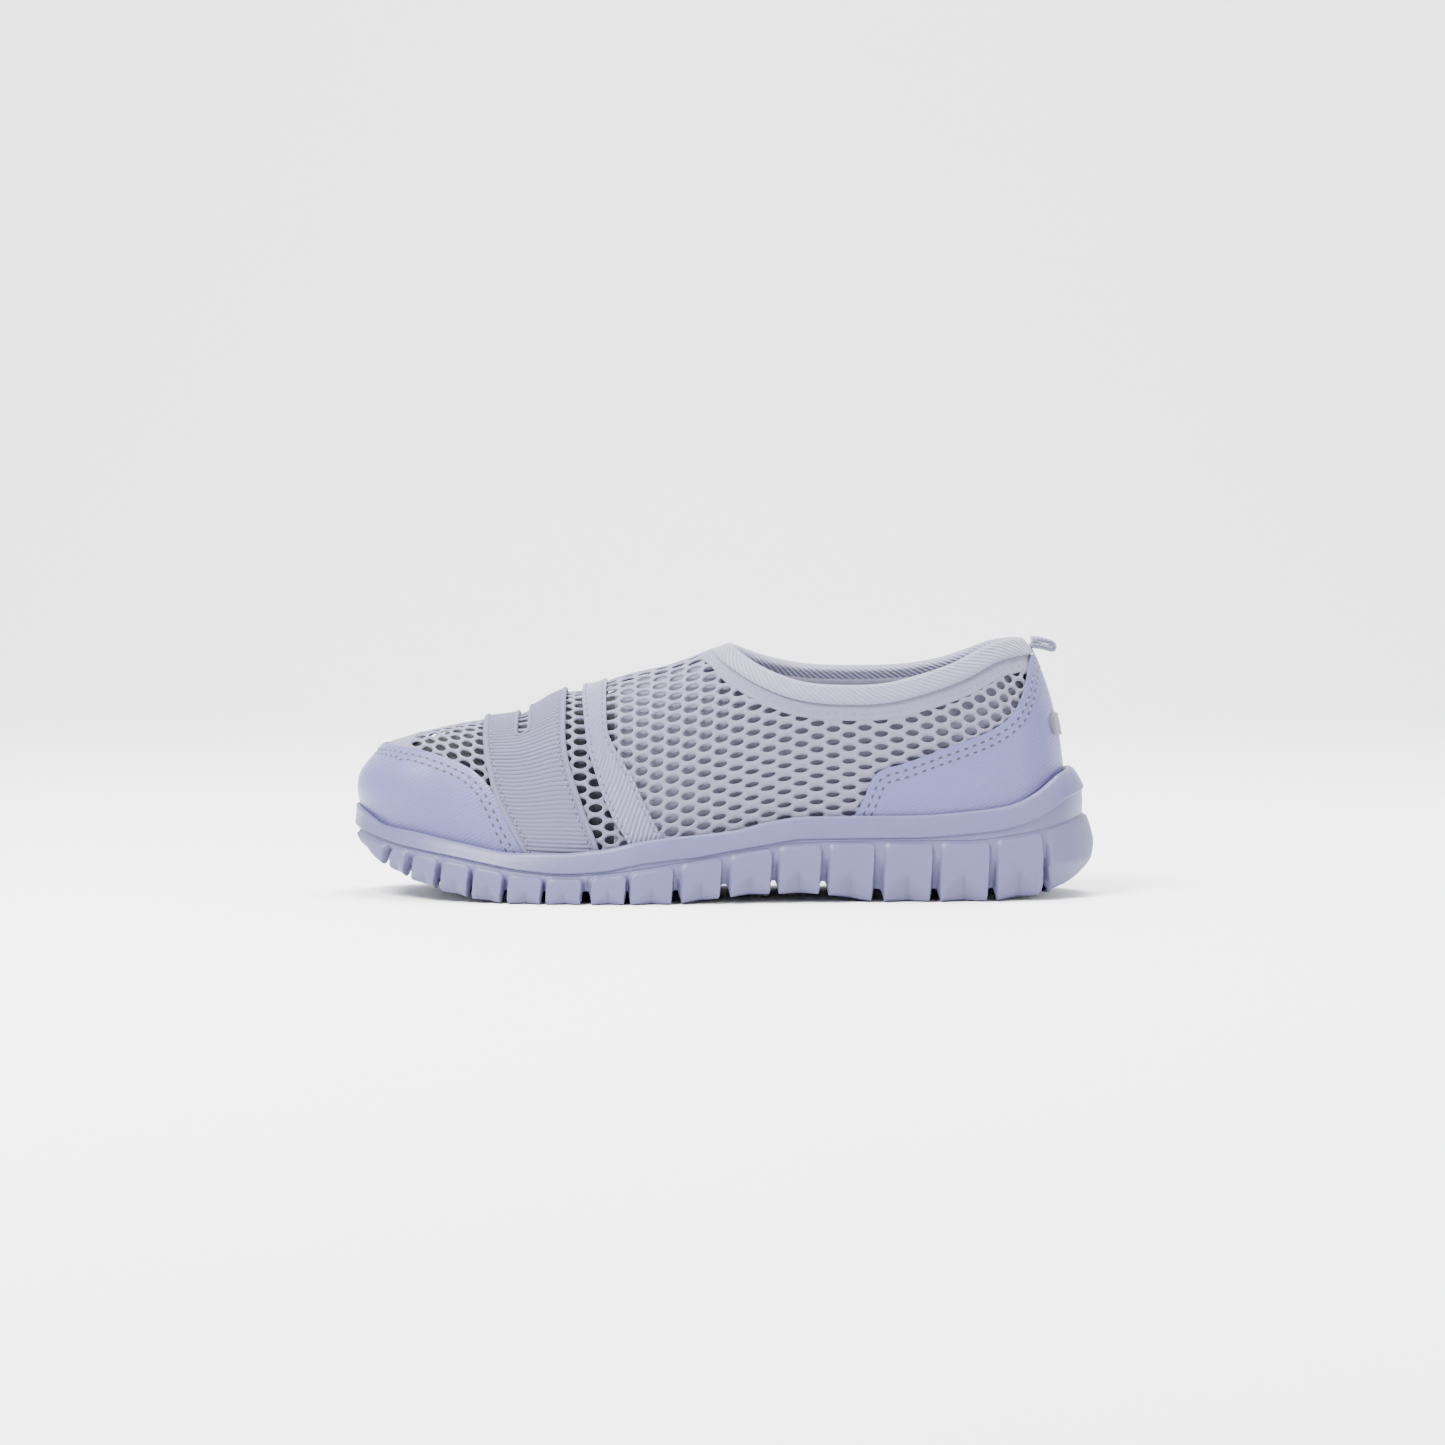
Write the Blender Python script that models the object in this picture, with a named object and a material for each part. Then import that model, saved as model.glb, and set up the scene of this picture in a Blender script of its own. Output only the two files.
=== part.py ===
"""A left slip-on running shoe, an assembly of sole unit, insole, mesh upper, overlays, tapes and pull tab.

Metres, +Z up, standing on z = 0. The toe points along -X and the outer (lateral) side faces -Y.
The upper's pieces are layers at set distances from one closed dome, the shape of the last.
Tables of (x, value) points are in millimetres, and the functions made from them take and give metres.
"""

import math

import bmesh
import bpy
import numpy as np
from mathutils import Matrix

MM = 0.001
HALF_LENGTH = 131 * MM  # of the sole, toe tip to heel
GAP = 0.3 * MM  # between neighbouring pieces
FLEX_X = -46.8 * MM  # the sole's flex groove, under the ball of the foot
FLEX_Z = 20.0 * MM  # the toe_flex hinge's height, just above the rim
TAB_AXIS_X = 109.2 * MM  # the pull_tab_fold hinge, at the tab's seam on the collar
SIDES = ("lateral", "medial")

# Layers of the upper: distances of a piece's two faces from the last's dome.
LINING = (-1.3 * MM, -0.3 * MM)
STIFFENER = (0.0, 1.0 * MM)
TOE_PUFF = (-1.3 * MM, -0.3 * MM)
VAMP = (0.0, 1.0 * MM)
OVER_VAMP = (1.3 * MM, 2.4 * MM)
QUARTER = (1.3 * MM, 2.3 * MM)
OVER_QUARTER = (2.7 * MM, 3.6 * MM)

STROBEL_THICKNESS = 1.2 * MM
INSOLE_THICKNESS = 3.5 * MM
RIM_THICKNESS = 1.5 * MM
BAND_HEIGHT = 7.5 * MM  # of the smooth band above the tread blocks
EDGING_RADIUS = 1.0 * MM
BINDING_WIDTH = 6.2 * MM  # of the collar tape's outer and inner legs
BINDING_THICKNESS = 0.8 * MM
TAB_ROOT_X = 108.9 * MM
TAB_Z = 88.6 * MM
TAB_LENGTH = 9 * MM
TAB_WIDTH = 12 * MM
TAB_THICKNESS = 1.3 * MM  # of the tape that the tab is folded from
TAB_HALF_GAP = 0.4 * MM  # inside the fold
SLOT_X = -70.5 * MM  # the middle of the strap's slot
SLOT_RADIUS = 2.3 * MM
SLOT_HALF = 18 * MM  # from its middle to the centre of its round end
BADGE_V = (0.235, 0.295)  # the badge's lower and upper edge, as shares of the wall
BADGE_HALF_ANGLE = 0.30  # round the heel, in radians
BADGE_THICKNESS = 1.2 * MM
CHANNEL_HEIGHT = 4.5 * MM  # of the open channel under each groove between tread blocks
GROOVE_DEPTH = 3.5 * MM  # of the grooves, inwards from the sole's side

# Each tread block's first and last x, toe to heel, in millimetres.
BLOCKS = (
    (-132, -119.3), (-116.9, -111.2), (-108.6, -100.0), (-98.0, -88.2), (-86.6, -76.2),
    (-74.3, -62.3), (-60.8, -48.4), (-45.2, -33.2), (-31.6, -16.9), (-14.0, -0.4),
    (2.8, 16.8), (19.4, 33.8), (36.6, 52.1), (55.8, 72.2), (75.3, 92.2),
    (95.2, 111.5), (114.0, 132),
)


def smooth(points):
    """A smooth curve through (x, value) points, in millimetres, that never overshoots them."""
    xs, ys = np.array(points, float).T * MM
    step = np.diff(xs)
    slope = np.diff(ys) / step
    bend = np.concatenate([[slope[0]], np.zeros(len(xs) - 2), [slope[-1]]])
    for i in range(1, len(xs) - 1):
        if slope[i - 1] * slope[i] > 0:
            before, after = 2 * step[i] + step[i - 1], step[i] + 2 * step[i - 1]
            bend[i] = (before + after) / (before / slope[i - 1] + after / slope[i])

    def at(x):
        x = np.clip(np.asarray(x, float), xs[0], xs[-1])
        i = np.clip(np.searchsorted(xs, x) - 1, 0, len(step) - 1)
        s = (x - xs[i]) / step[i]
        ends = (1 + 2 * s) * (1 - s) ** 2 * ys[i] + s * s * (3 - 2 * s) * ys[i + 1]
        return ends + step[i] * s * (1 - s) * ((1 - s) * bend[i] - s * bend[i + 1])

    return at


def by_angle(points):
    """As smooth(), for a half-breadth given by x. It takes the outline's angle, so the ends are round."""
    angles = [0.0] + [math.acos(-x * MM / HALF_LENGTH) for x, _ in points] + [math.pi]
    breadths = [0.0] + [b for _, b in points] + [0.0]
    curve = smooth(list(zip(angles, breadths)))
    return lambda angle: curve(np.asarray(angle) * MM)


# Plan view. The outline's centre line runs from the toe tip to the heel, and the breadths stand off it.
TOE_Y, HEEL_Y = 9 * MM, 2 * MM
BREADTH = {
    "lateral": by_angle((
        (-127, 16.9), (-117, 30.6), (-100, 42.2), (-80, 49.6), (-55, 54.0), (-35, 54.4), (-10, 51.3),
        (20, 46.0), (50, 42.2), (80, 39.9), (105, 35.2), (121, 24.8), (129, 11.0),
    )),
    "medial": by_angle((
        (-127, 15.1), (-117, 24.4), (-100, 32.8), (-80, 38.7), (-62, 40.8), (-45, 39.8), (-20, 34.5),
        (5, 30.1), (30, 28.8), (55, 30.5), (80, 33.1), (104, 31.3), (120, 23.7), (129, 11.4),
    )),
}
# FLARE is from the rim's top out to the widest line, and LAYER_ROOM holds the upper's layers inside the rim.
FLARE = smooth(((-131, 1), (-122, 2.2), (-100, 4.2), (60, 5), (110, 7.2), (131, 8)))
LAYER_ROOM = smooth(((-131, 3.3), (-118, 3.9), (-95, 4.1), (131, 4.1)))

# Side view. Heights along the shoe.
TREAD_Z = smooth((
    (-131, 22.4), (-129, 19.5), (-125, 15.5), (-116, 10), (-103, 5), (-94, 2.8), (-85, 1.2), (-76, 0.1),
    (-70, 0), (-20, 0), (-13, 0.5), (0, 2), (12, 3), (27, 3.2), (38, 2.4), (48, 0.7), (55, 0),
    (92, 0), (100, 0.7), (110, 1.8), (118, 3.4), (124, 6), (129, 11), (131, 17),
))
SEAM_Z = smooth((
    (-131, 23.6), (-127, 22.2), (-122, 20.4), (-112, 18), (-93, 14.8), (-81, 12.6), (-70, 10.8), (-55, 9.8),
    (-39, 10.8), (-24, 12.8), (-7, 15.6), (10, 18.6), (28, 20.8), (60, 21.2), (85, 21.2), (103, 23),
    (122, 26.5), (131, 29),
))
FOOTBED_Z = smooth((
    (-131, 25.2), (-110, 21.3), (-80, 15), (-55, 12.6), (-35, 13.6), (0, 19), (30, 23.6), (131, 26),
))
RIM_Z = smooth((
    (-131, 34), (-127, 31), (-121, 26), (-111, 23.8), (-92, 20.2), (-73, 17.4), (-58, 17.4), (-43, 18.6),
    (-28, 21.5), (-21, 22.4), (5, 25.1), (16, 27.8), (29, 29.6), (66, 29.8), (85, 31), (99, 32.6),
    (113, 37), (123, 42.5), (131, 45),
))
RIDGE_X = smooth((
    (-131, -113.5), (-114, -101.5), (-93, -86.5), (-71, -69), (-50, -50), (45, 45), (85, 64), (131, 80),
))
RIDGE_Y = smooth(((-131, 8), (-60, 6), (0, 4), (80, 2)))
RIDGE_Z = smooth((
    (-113.5, 52.9), (-102, 56.5), (-94, 58.4), (-85, 60.0), (-77, 61.0), (-72, 61.8), (-68, 63.5),
    (-63.5, 66), (-59.5, 68.4), (-55, 69.9), (-46, 70.6), (-42, 71.7), (-37.5, 73.7), (-33.5, 75),
    (-25, 77), (-16, 79.2),
    (-7.5, 82.5), (-3, 84.2), (3, 86), (10, 89), (20, 93), (30, 97), (50, 101), (65, 103), (80, 104),
))
# The exponent of the cross-section's rounded corner, in thousandths.
ROUNDNESS = smooth((
    (-126, 2500), (-112, 2500), (-90, 2400), (-60, 2200), (-10, 1850), (25, 2050), (60, 2300), (118, 2100),
))
COLLAR_FRONT = 3 * MM
COLLAR_Z = {
    "lateral": smooth((
        (3, 85.8), (10, 81), (19, 76.8), (29, 74), (38, 73.3), (48, 73.3), (57, 74), (66, 76.2), (76, 79.2),
        (82, 81.6), (89, 85.4), (95, 87.8), (102, 88.6), (118, 88.6),
    )),
    "medial": smooth((
        (3, 85.8), (10, 83.5), (20, 80.8), (32, 79), (48, 78.6), (62, 79), (76, 81), (89, 85.4), (95, 87.8),
        (102, 88.6), (118, 88.6),
    )),
}

# Edges of the upper's pieces in side view: x by height for the edges that rise, height by x for the rest.
STRAP_FRONT_X = smooth((
    (8, -66), (17.6, -69.3), (26.8, -74.3), (36, -78.9), (45.2, -81.7), (53.5, -83.5), (60, -84),
))
STRAP_REAR_X = smooth((
    (8, -40.5), (19, -43), (28.8, -46.8), (38.9, -50.4), (47.9, -53.3), (58, -54.8), (70, -55),
))
QUARTER_FRONT_X = smooth((
    (8, -29), (21.3, -33), (28.7, -37.6), (36.9, -41.3), (44.3, -44), (53.4, -46.8), (71, -49.5),
))
TAPE_REAR_X = smooth((
    (8, -15), (22.7, -21), (27.7, -23.8), (35, -27.5), (42.5, -31), (51.6, -36.7), (59.9, -40.3), (71, -41),
))
TOE_CAP_REAR_X = smooth(((8, -68), (17.6, -70.2), (26, -74.3), (33, -78)))
TOE_CAP_Z = smooth((
    (-118, 52), (-106.6, 51), (-95.4, 47.9), (-87, 44.3), (-81.7, 39.6), (-78, 33), (-74.3, 26),
))
HEEL_COVER_FRONT_X = smooth(((15, 41), (29.7, 45.6), (34.6, 48.4), (41, 51)))
HEEL_COVER_Z = smooth((
    (48, 34), (51, 41), (54, 44.8), (62.5, 47.5), (75.6, 54.2), (85, 58), (94.6, 61.7), (101, 66.4),
    (105, 74), (108, 84),
))


def outline(side, angle, inset=0.0):
    """Points of the widest outline in plan, moved inwards. Angle is 0 at the toe and pi at the heel."""
    sign = -1 if side == "lateral" else 1

    def at(a):
        x = -HALF_LENGTH * np.cos(a)
        centre = TOE_Y + (HEEL_Y - TOE_Y) * (x + HALF_LENGTH) / (2 * HALF_LENGTH)
        return np.stack([x, centre + sign * BREADTH[side](np.clip(a, 0, math.pi))], -1)

    angle = np.asarray(angle, float)
    low, high = np.clip(angle - 0.02, 0, math.pi), np.clip(angle + 0.02, 0, math.pi)
    along = at(high) - at(low)
    at_end = ((angle <= 0) | (angle >= math.pi))[..., None]
    straight = np.stack([np.zeros_like(angle), np.where(angle <= 0, sign, -sign) * 1.0], -1)
    along = np.where(at_end, straight, along)
    along /= np.linalg.norm(along, axis=-1, keepdims=True)
    outwards = np.stack([along[..., 1], -along[..., 0]], -1) * -sign
    return at(angle) - outwards * np.asarray(inset)[..., None]


def feather(side, angle):
    """The upper's lower edge, inside the rim of the midsole, as 3D points."""
    x = -HALF_LENGTH * np.cos(angle)
    plan = outline(side, angle, FLARE(x) + RIM_THICKNESS + LAYER_ROOM(x))
    return np.concatenate([plan, (FOOTBED_Z(plan[..., 0]) + 2 * GAP)[..., None]], -1)


def dome(side, angle, v):
    """The last's dome: v runs from 0 at the feather line to 1 at the ridge along the top."""
    angle, v = np.broadcast_arrays(np.asarray(angle, float), np.asarray(v, float))
    base = feather(side, angle)
    ridge_x = RIDGE_X(-HALF_LENGTH * np.cos(angle))
    ridge = np.stack([ridge_x, RIDGE_Y(ridge_x), RIDGE_Z(ridge_x)], -1)
    power = 2 / ROUNDNESS(base[..., 0])
    quarter_turn = np.clip(v, 0, 1) * math.pi / 2
    inwards = 1 - np.maximum(np.cos(quarter_turn), 0) ** power
    upwards = np.sin(quarter_turn) ** power
    return base + (ridge - base) * np.stack([inwards, inwards, upwards], -1)


def layer(side, angle, v, offset):
    """A point at a distance outwards from the dome."""
    angle, v = np.broadcast_arrays(np.asarray(angle, float), np.asarray(v, float))
    small = 0.004
    along = dome(side, np.minimum(angle + small, math.pi), v) - dome(side, np.maximum(angle - small, 0), v)
    up = dome(side, angle, np.minimum(v + small, 1)) - dome(side, angle, np.maximum(v - small, 0))
    outwards = np.cross(along, up) * (1 if side == "lateral" else -1)
    flat = np.zeros_like(angle)
    at_toe = np.stack([-up[..., 2], flat, up[..., 0]], -1)
    at_ridge = np.stack([-along[..., 2], flat, along[..., 0]], -1)
    outwards = np.where((angle < small)[..., None], at_toe, outwards)
    outwards = np.where((angle > math.pi - small)[..., None], -at_toe, outwards)
    outwards = np.where((v > 1 - small)[..., None], at_ridge, outwards)
    outwards /= np.linalg.norm(outwards, axis=-1, keepdims=True)
    return dome(side, angle, v) + outwards * offset


def solve(low, high, rises, rounds=40):
    """Where rises() passes zero between low and high, for arrays of places at once."""
    low, high = low + 0.0, high + 0.0
    for _ in range(rounds):
        middle = (low + high) / 2
        over = rises(middle) > 0
        high, low = np.where(over, middle, high), np.where(over, low, middle)
    return (low + high) / 2


def angle_at_edge(side, v, edge_x, offset):
    """The angle at which an edge given as x by height crosses each v."""
    v = np.asarray(v, float)

    def past(angle):
        p = layer(side, angle, v, offset)
        return p[..., 0] - edge_x(p[..., 2])

    return solve(np.zeros_like(v), np.full_like(v, math.pi), past)


def v_at_edge(side, angle, edge_z, offset=0.0):
    """The v at which an edge given as height by x crosses each angle."""
    angle = np.asarray(angle, float)

    def above(v):
        p = layer(side, angle, v, offset)
        return p[..., 2] - edge_z(p[..., 0])

    return solve(np.zeros_like(angle), np.ones_like(angle), above)


def angle_of_ridge(x):
    """The angle whose line over the foot meets the ridge at x."""
    return float(solve(np.array(0.0), np.array(math.pi), lambda a: dome("lateral", a, 1.0)[..., 0] - x))


OPENING_ANGLE = angle_of_ridge(COLLAR_FRONT)


def collar_v(side, angle):
    """The collar edge's v: 1, closed, ahead of the foot opening."""
    angle = np.asarray(angle, float)
    return np.where(angle <= OPENING_ANGLE, 1.0, v_at_edge(side, angle, COLLAR_Z[side]))


# The sheets of the quarter stop this far below the collar's edge, under the tape.
SHEET_DROP = BINDING_WIDTH + 1.2 * MM
SHEET_ANGLE = angle_of_ridge(COLLAR_FRONT - SHEET_DROP)


def below_collar(side, angle):
    """The v of the line where the sheets meet the collar tape's lower edge."""
    return v_at_edge(side, angle, lambda x: COLLAR_Z[side](x + 0.7 * SHEET_DROP) - SHEET_DROP)


# --- Making objects -----------------------------------------------------------------------------

def clear_scene():
    for obj in list(bpy.data.objects):
        bpy.data.objects.remove(obj)


def new_collection(name, parent):
    collection = bpy.data.collections.new(name)
    parent.children.link(collection)
    return collection


def material(name, colour, roughness):
    made = bpy.data.materials.new(name)
    made.use_nodes = True
    shader = made.node_tree.nodes["Principled BSDF"]
    shader.inputs["Base Color"].default_value = (*colour, 1)
    shader.inputs["Roughness"].default_value = roughness
    return made


def mesh_object(name, vertices, faces, finish):
    """An object from points and faces, smooth shaded apart from its sharp edges."""
    mesh = bpy.data.meshes.new(name)
    mesh.from_pydata([tuple(map(float, v)) for v in vertices], [], faces)
    mesh.validate()
    work = bmesh.new()
    work.from_mesh(mesh)
    bmesh.ops.remove_doubles(work, verts=work.verts, dist=0.02 * MM)
    bmesh.ops.triangulate(work, faces=work.faces)
    bmesh.ops.recalc_face_normals(work, faces=work.faces)
    work.to_mesh(mesh)
    work.free()
    mesh.materials.append(finish)
    mesh.shade_smooth()
    mesh.set_sharp_from_angle(angle=math.radians(40))
    obj = bpy.data.objects.new(name, mesh)
    shoe.objects.link(obj)
    return obj


def grid_faces(columns, rows, closed=False):
    """Quads of a grid of vertices, column by column. A closed one joins its last column to its first."""
    last = columns if closed else columns - 1
    faces = []
    for c in range(last):
        a, b = c * rows, (c + 1) % columns * rows
        faces += [(a + r, b + r, b + r + 1, a + r + 1) for r in range(rows - 1)]
    return faces


def shell(name, sheets, faces_at, finish):
    """A closed solid between two copies of a sheet: sheets(offset) gives its points and faces."""
    inner, faces = sheets(faces_at[0])
    outer, _ = sheets(faces_at[1])
    welded = {}
    index = []
    for p in inner:
        key = tuple(np.round(p / (0.01 * MM)).astype(int))
        index.append(welded.setdefault(key, len(welded)))
    first = {}
    for old, new in enumerate(index):
        first.setdefault(new, old)
    order = [first[n] for n in range(len(welded))]
    quads = [tuple(dict.fromkeys(index[i] for i in face)) for face in faces]
    quads = [q for q in quads if len(q) > 2]
    count = len(order)
    edges = {}
    for q in quads:
        for a, b in zip(q, q[1:] + q[:1]):
            edges[frozenset((a, b))] = None if frozenset((a, b)) in edges else (a, b)
    rim = [(a, b, b + count, a + count) for a, b in filter(None, edges.values())]
    vertices = [inner[i] for i in order] + [outer[i] for i in order]
    solid = quads + [tuple(i + count for i in reversed(q)) for q in quads] + rim
    return mesh_object(name, vertices, solid, finish)


def two_sided(columns_of, rows):
    """A sheet over both sides of the shoe. columns_of(side, offset) gives each side's columns of points."""
    def sheets(offset):
        vertices, faces = [], []
        for side in SIDES:
            points = columns_of(side, offset)
            start = len(vertices)
            vertices += list(points.reshape(-1, 3))
            turned = -1 if side == "medial" else 1
            faces += [tuple(start + i for i in face)[::turned] for face in grid_faces(len(points), rows)]
        return vertices, faces
    return sheets


def spread(low, high, steps, ease=0.0):
    """Evenly spaced shares between two arrays, or bunched at both ends if ease is near 1."""
    s = np.linspace(0, 1, steps)
    s = s * (1 - ease) + (1 - np.cos(math.pi * s)) / 2 * ease
    return low + (high - low) * s


def loft(name, rings, finish):
    """A closed solid through rings that run toe, lateral, heel, medial. Its caps join the two sides."""
    around = len(rings[0])
    half = around // 2
    vertices = [p for ring in rings for p in ring]
    faces = []
    for k in range(len(rings) - 1):
        a, b = k * around, (k + 1) * around
        faces += [(a + i, a + (i + 1) % around, b + (i + 1) % around, b + i) for i in range(around)]
    for start in (0, (len(rings) - 1) * around):
        for i in range(half):
            j = (around - i) % around
            faces.append(tuple(start + n for n in dict.fromkeys((i, i + 1, around - i - 1, j))))
    return mesh_object(name, vertices, faces, finish)


def ring(stations, inset, height):
    """A closed ring round the sole: inset(x) inwards from the outline, at height(x)."""
    angles = np.linspace(0, math.pi, stations)
    x = -HALF_LENGTH * np.cos(angles)
    sides = []
    for side in SIDES:
        plan = outline(side, angles, inset(x))
        sides.append(np.concatenate([plan, height(plan[:, 0])[:, None]], 1))
    return np.concatenate([sides[0], sides[1][-2:0:-1]])


def cutter(name, vertices, faces):
    """A hidden closed mesh that a Boolean takes away from a piece."""
    mesh = bpy.data.meshes.new(name)
    mesh.from_pydata(vertices, [], faces)
    work = bmesh.new()
    work.from_mesh(mesh)
    bmesh.ops.recalc_face_normals(work, faces=work.faces)
    work.to_mesh(mesh)
    work.free()
    obj = bpy.data.objects.new(name, mesh)
    cutters.objects.link(obj)
    obj.hide_render = True
    obj.display_type = "WIRE"
    return obj


def prism(profile, x_low, x_high, start=0):
    """The points and faces of a closed (y, z) profile run along X, its points numbered from start."""
    n = len(profile)
    vertices = [(x, y, z) for x in (x_low, x_high) for y, z in profile]
    faces = [(i, (i + 1) % n, n + (i + 1) % n, n + i) for i in range(n)]
    faces += [tuple(range(n)), tuple(range(2 * n - 1, n - 1, -1))]
    return vertices, [tuple(start + i for i in face) for face in faces]


def cut(obj, tool):
    modifier = obj.modifiers.new(tool.name, "BOOLEAN")
    modifier.operation = "DIFFERENCE"
    modifier.object = tool
    modifier.solver = "EXACT"


def split_at_flex(whole, front_name, rear_name):
    """Two nodes from one piece that bends at the flex groove: what lies ahead of it and what lies behind."""
    box = ((-0.1, -0.05), (0.1, -0.05), (0.1, 0.15), (-0.1, 0.15))
    rear = whole.copy()
    rear.data = whole.data.copy()
    shoe.objects.link(rear)
    whole.name, rear.name = front_name, rear_name
    cut(whole, cutter(f"behind_{front_name}", *prism(box, FLEX_X - GAP / 2, 0.3)))
    cut(rear, cutter(f"ahead_of_{rear_name}", *prism(box, -0.3, FLEX_X + GAP / 2)))
    return whole, rear


# --- The sole ------------------------------------------------------------------------------------

def outsole():
    """The tread: one moulding whose blocks are parted by grooves, split where the shoe flexes."""
    stations = 36
    rings = [
        ring(stations, lambda x: 0.4 * FLARE(x), lambda x: SEAM_Z(x) - GAP),
        ring(stations, lambda x: 0.0 * x, lambda x: 0.5 * TREAD_Z(x) + 0.5 * SEAM_Z(x)),
        ring(stations, lambda x: 0.0 * x + 1.6 * MM, TREAD_Z),
    ]
    whole = loft("outsole", rings, rubber)
    wide, below = 0.07, -0.02  # past the sole's sides and under it
    vertices, faces = [], []
    for before, after in zip(BLOCKS, BLOCKS[1:]):
        low, high = before[1] * MM, after[0] * MM
        x = (low + high) / 2
        angle = math.acos(-x / HALF_LENGTH)
        left, right = (outline(side, angle)[1] for side in SIDES)
        roof, top = float(TREAD_Z(x)) + CHANNEL_HEIGHT, float(SEAM_Z(x)) - 1.5 * MM
        profile = (
            (-wide, below), (wide, below), (wide, top),
            (right - GROOVE_DEPTH, top), (right - GROOVE_DEPTH, roof),
            (left + GROOVE_DEPTH, roof), (left + GROOVE_DEPTH, top), (-wide, top),
        )
        more_vertices, more_faces = prism(profile, low, high, len(vertices))
        vertices += more_vertices
        faces += more_faces
    cut(whole, cutter("tread_grooves", vertices, faces))
    return split_at_flex(whole, "outsole_forefoot", "outsole_rearfoot")


def midsole():
    """The cushioning deck with the band round it, cupped inside to hold the upper."""
    stations = 33

    def inner(x):
        return FLARE(x) + RIM_THICKNESS

    rings = [
        ring(stations, lambda x: 0.4 * FLARE(x), SEAM_Z),
        ring(stations, lambda x: 0.45 * FLARE(x), lambda x: RIM_Z(x) - BAND_HEIGHT),
        ring(stations, lambda x: 0.8 * FLARE(x), lambda x: RIM_Z(x) - 1.2 * MM),
        ring(stations, FLARE, RIM_Z),
        ring(stations, inner, RIM_Z),
        ring(stations, inner, FOOTBED_Z),
    ]
    whole = loft("midsole", rings, foam)
    return split_at_flex(whole, "midsole_forefoot", "midsole_rearfoot")


def footbed_plate(name, front_name, rear_name, bottom, thickness, inset, finish):
    """A plate that follows the footbed, split where the shoe flexes."""
    stations = 33
    rings = [
        ring(stations, inset, lambda x: FOOTBED_Z(x) + bottom),
        ring(stations, inset, lambda x: FOOTBED_Z(x) + bottom + thickness),
    ]
    whole = loft(name, rings, finish)
    return split_at_flex(whole, front_name, rear_name)


# --- The upper -----------------------------------------------------------------------------------

def vamp_mesh():
    """The front panel, from the toe's lasting edge back to under the quarter's front edge."""
    rows, columns = 9, 22
    v = np.linspace(0, 1, rows)
    underlap = 7 * MM
    ridge_angle = angle_of_ridge(float(QUARTER_FRONT_X(71 * MM)) + underlap)

    def columns_of(side, offset):
        back = angle_at_edge(side, v, lambda z: QUARTER_FRONT_X(z) + underlap, VAMP[0])
        back[-1] = ridge_angle
        return np.array([layer(side, back * s, v, offset) for s in spread(0, 1, columns)])

    return shell("vamp_mesh", two_sided(columns_of, rows), VAMP, mesh_cloth)


def toe_cap():
    """The synthetic leather cap, whose top edge falls backwards to meet its short rear edge."""
    rows, columns = 6, 12
    v = np.linspace(0, 1, rows)

    def columns_of(side, offset):
        last = angle_at_edge(side, np.array(0.0), TOE_CAP_REAR_X, OVER_VAMP[0])
        angle = np.linspace(0, last, columns)[:, None]
        height = v * v_at_edge(side, angle, TOE_CAP_Z, OVER_VAMP[0])
        back = angle_at_edge(side, height, TOE_CAP_REAR_X, OVER_VAMP[0])
        return layer(side, np.minimum(angle, back), height, offset)

    return shell("toe_cap", two_sided(columns_of, rows), OVER_VAMP, synthetic)


def toe_puff():
    """The stiff liner inside the toe."""
    rows, columns = 5, 8
    rear_x = -88 * MM
    v = np.linspace(0, 0.55, rows)

    def columns_of(side, offset):
        last = float(angle_at_edge(side, np.array(0.1), lambda z: rear_x + 0 * z, 0.0))
        return np.array([layer(side, last * s, v, offset) for s in np.linspace(0, 1, columns)])

    return shell("toe_puff", two_sided(columns_of, rows), TOE_PUFF, board)


def band(name, front_x, rear_x, faces_at, finish, columns, rows=9):
    """A strip over the instep from sole to sole, between two edges given as x by height."""
    v = np.linspace(0, 1, rows)

    def columns_of(side, offset):
        front = angle_at_edge(side, v, front_x, faces_at[0])
        rear = angle_at_edge(side, v, rear_x, faces_at[0])
        share = np.linspace(0, 1, columns)
        return np.array([layer(side, front + (rear - front) * s, v, offset) for s in share])

    return shell(name, two_sided(columns_of, rows), faces_at, finish)


def vamp_strap():
    """The ribbed webbing over the forefoot, with a slot across its top."""
    margin = 2 * EDGING_RADIUS + 2 * GAP
    strap = band(
        "vamp_strap", lambda z: STRAP_FRONT_X(z) + margin, lambda z: STRAP_REAR_X(z) - margin,
        OVER_VAMP, webbing, columns=6, rows=13,
    )
    centre = float(RIDGE_Y(SLOT_X))
    turn = np.linspace(-math.pi / 2, math.pi / 2, 7)
    end = [(SLOT_RADIUS * math.sin(a), SLOT_HALF + SLOT_RADIUS * math.cos(a)) for a in turn]
    loop = end + [(-dx, -y) for dx, y in end]
    n = len(loop)
    low, high = RIDGE_Z(SLOT_X) - 20 * MM, RIDGE_Z(SLOT_X) + 20 * MM
    vertices = [(SLOT_X + dx, centre + y, z) for z in (low, high) for dx, y in loop]
    sides = [(i, (i + 1) % n, n + (i + 1) % n, n + i) for i in range(n)]
    slot = cutter("strap_slot", vertices, [tuple(range(n)), tuple(range(2 * n - 1, n - 1, -1)), *sides])
    cut(strap, slot)
    return strap


def over_foot_path(edge_x, offset, steps):
    """Points along an edge from the lateral sole over the foot to the medial sole."""
    v = spread(0.02, 1, steps)
    runs = []
    for side in SIDES:
        angle = angle_at_edge(side, v, edge_x, offset)
        runs.append(layer(side, angle, v, offset))
    return np.concatenate([runs[0], runs[1][-2::-1]])


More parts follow.
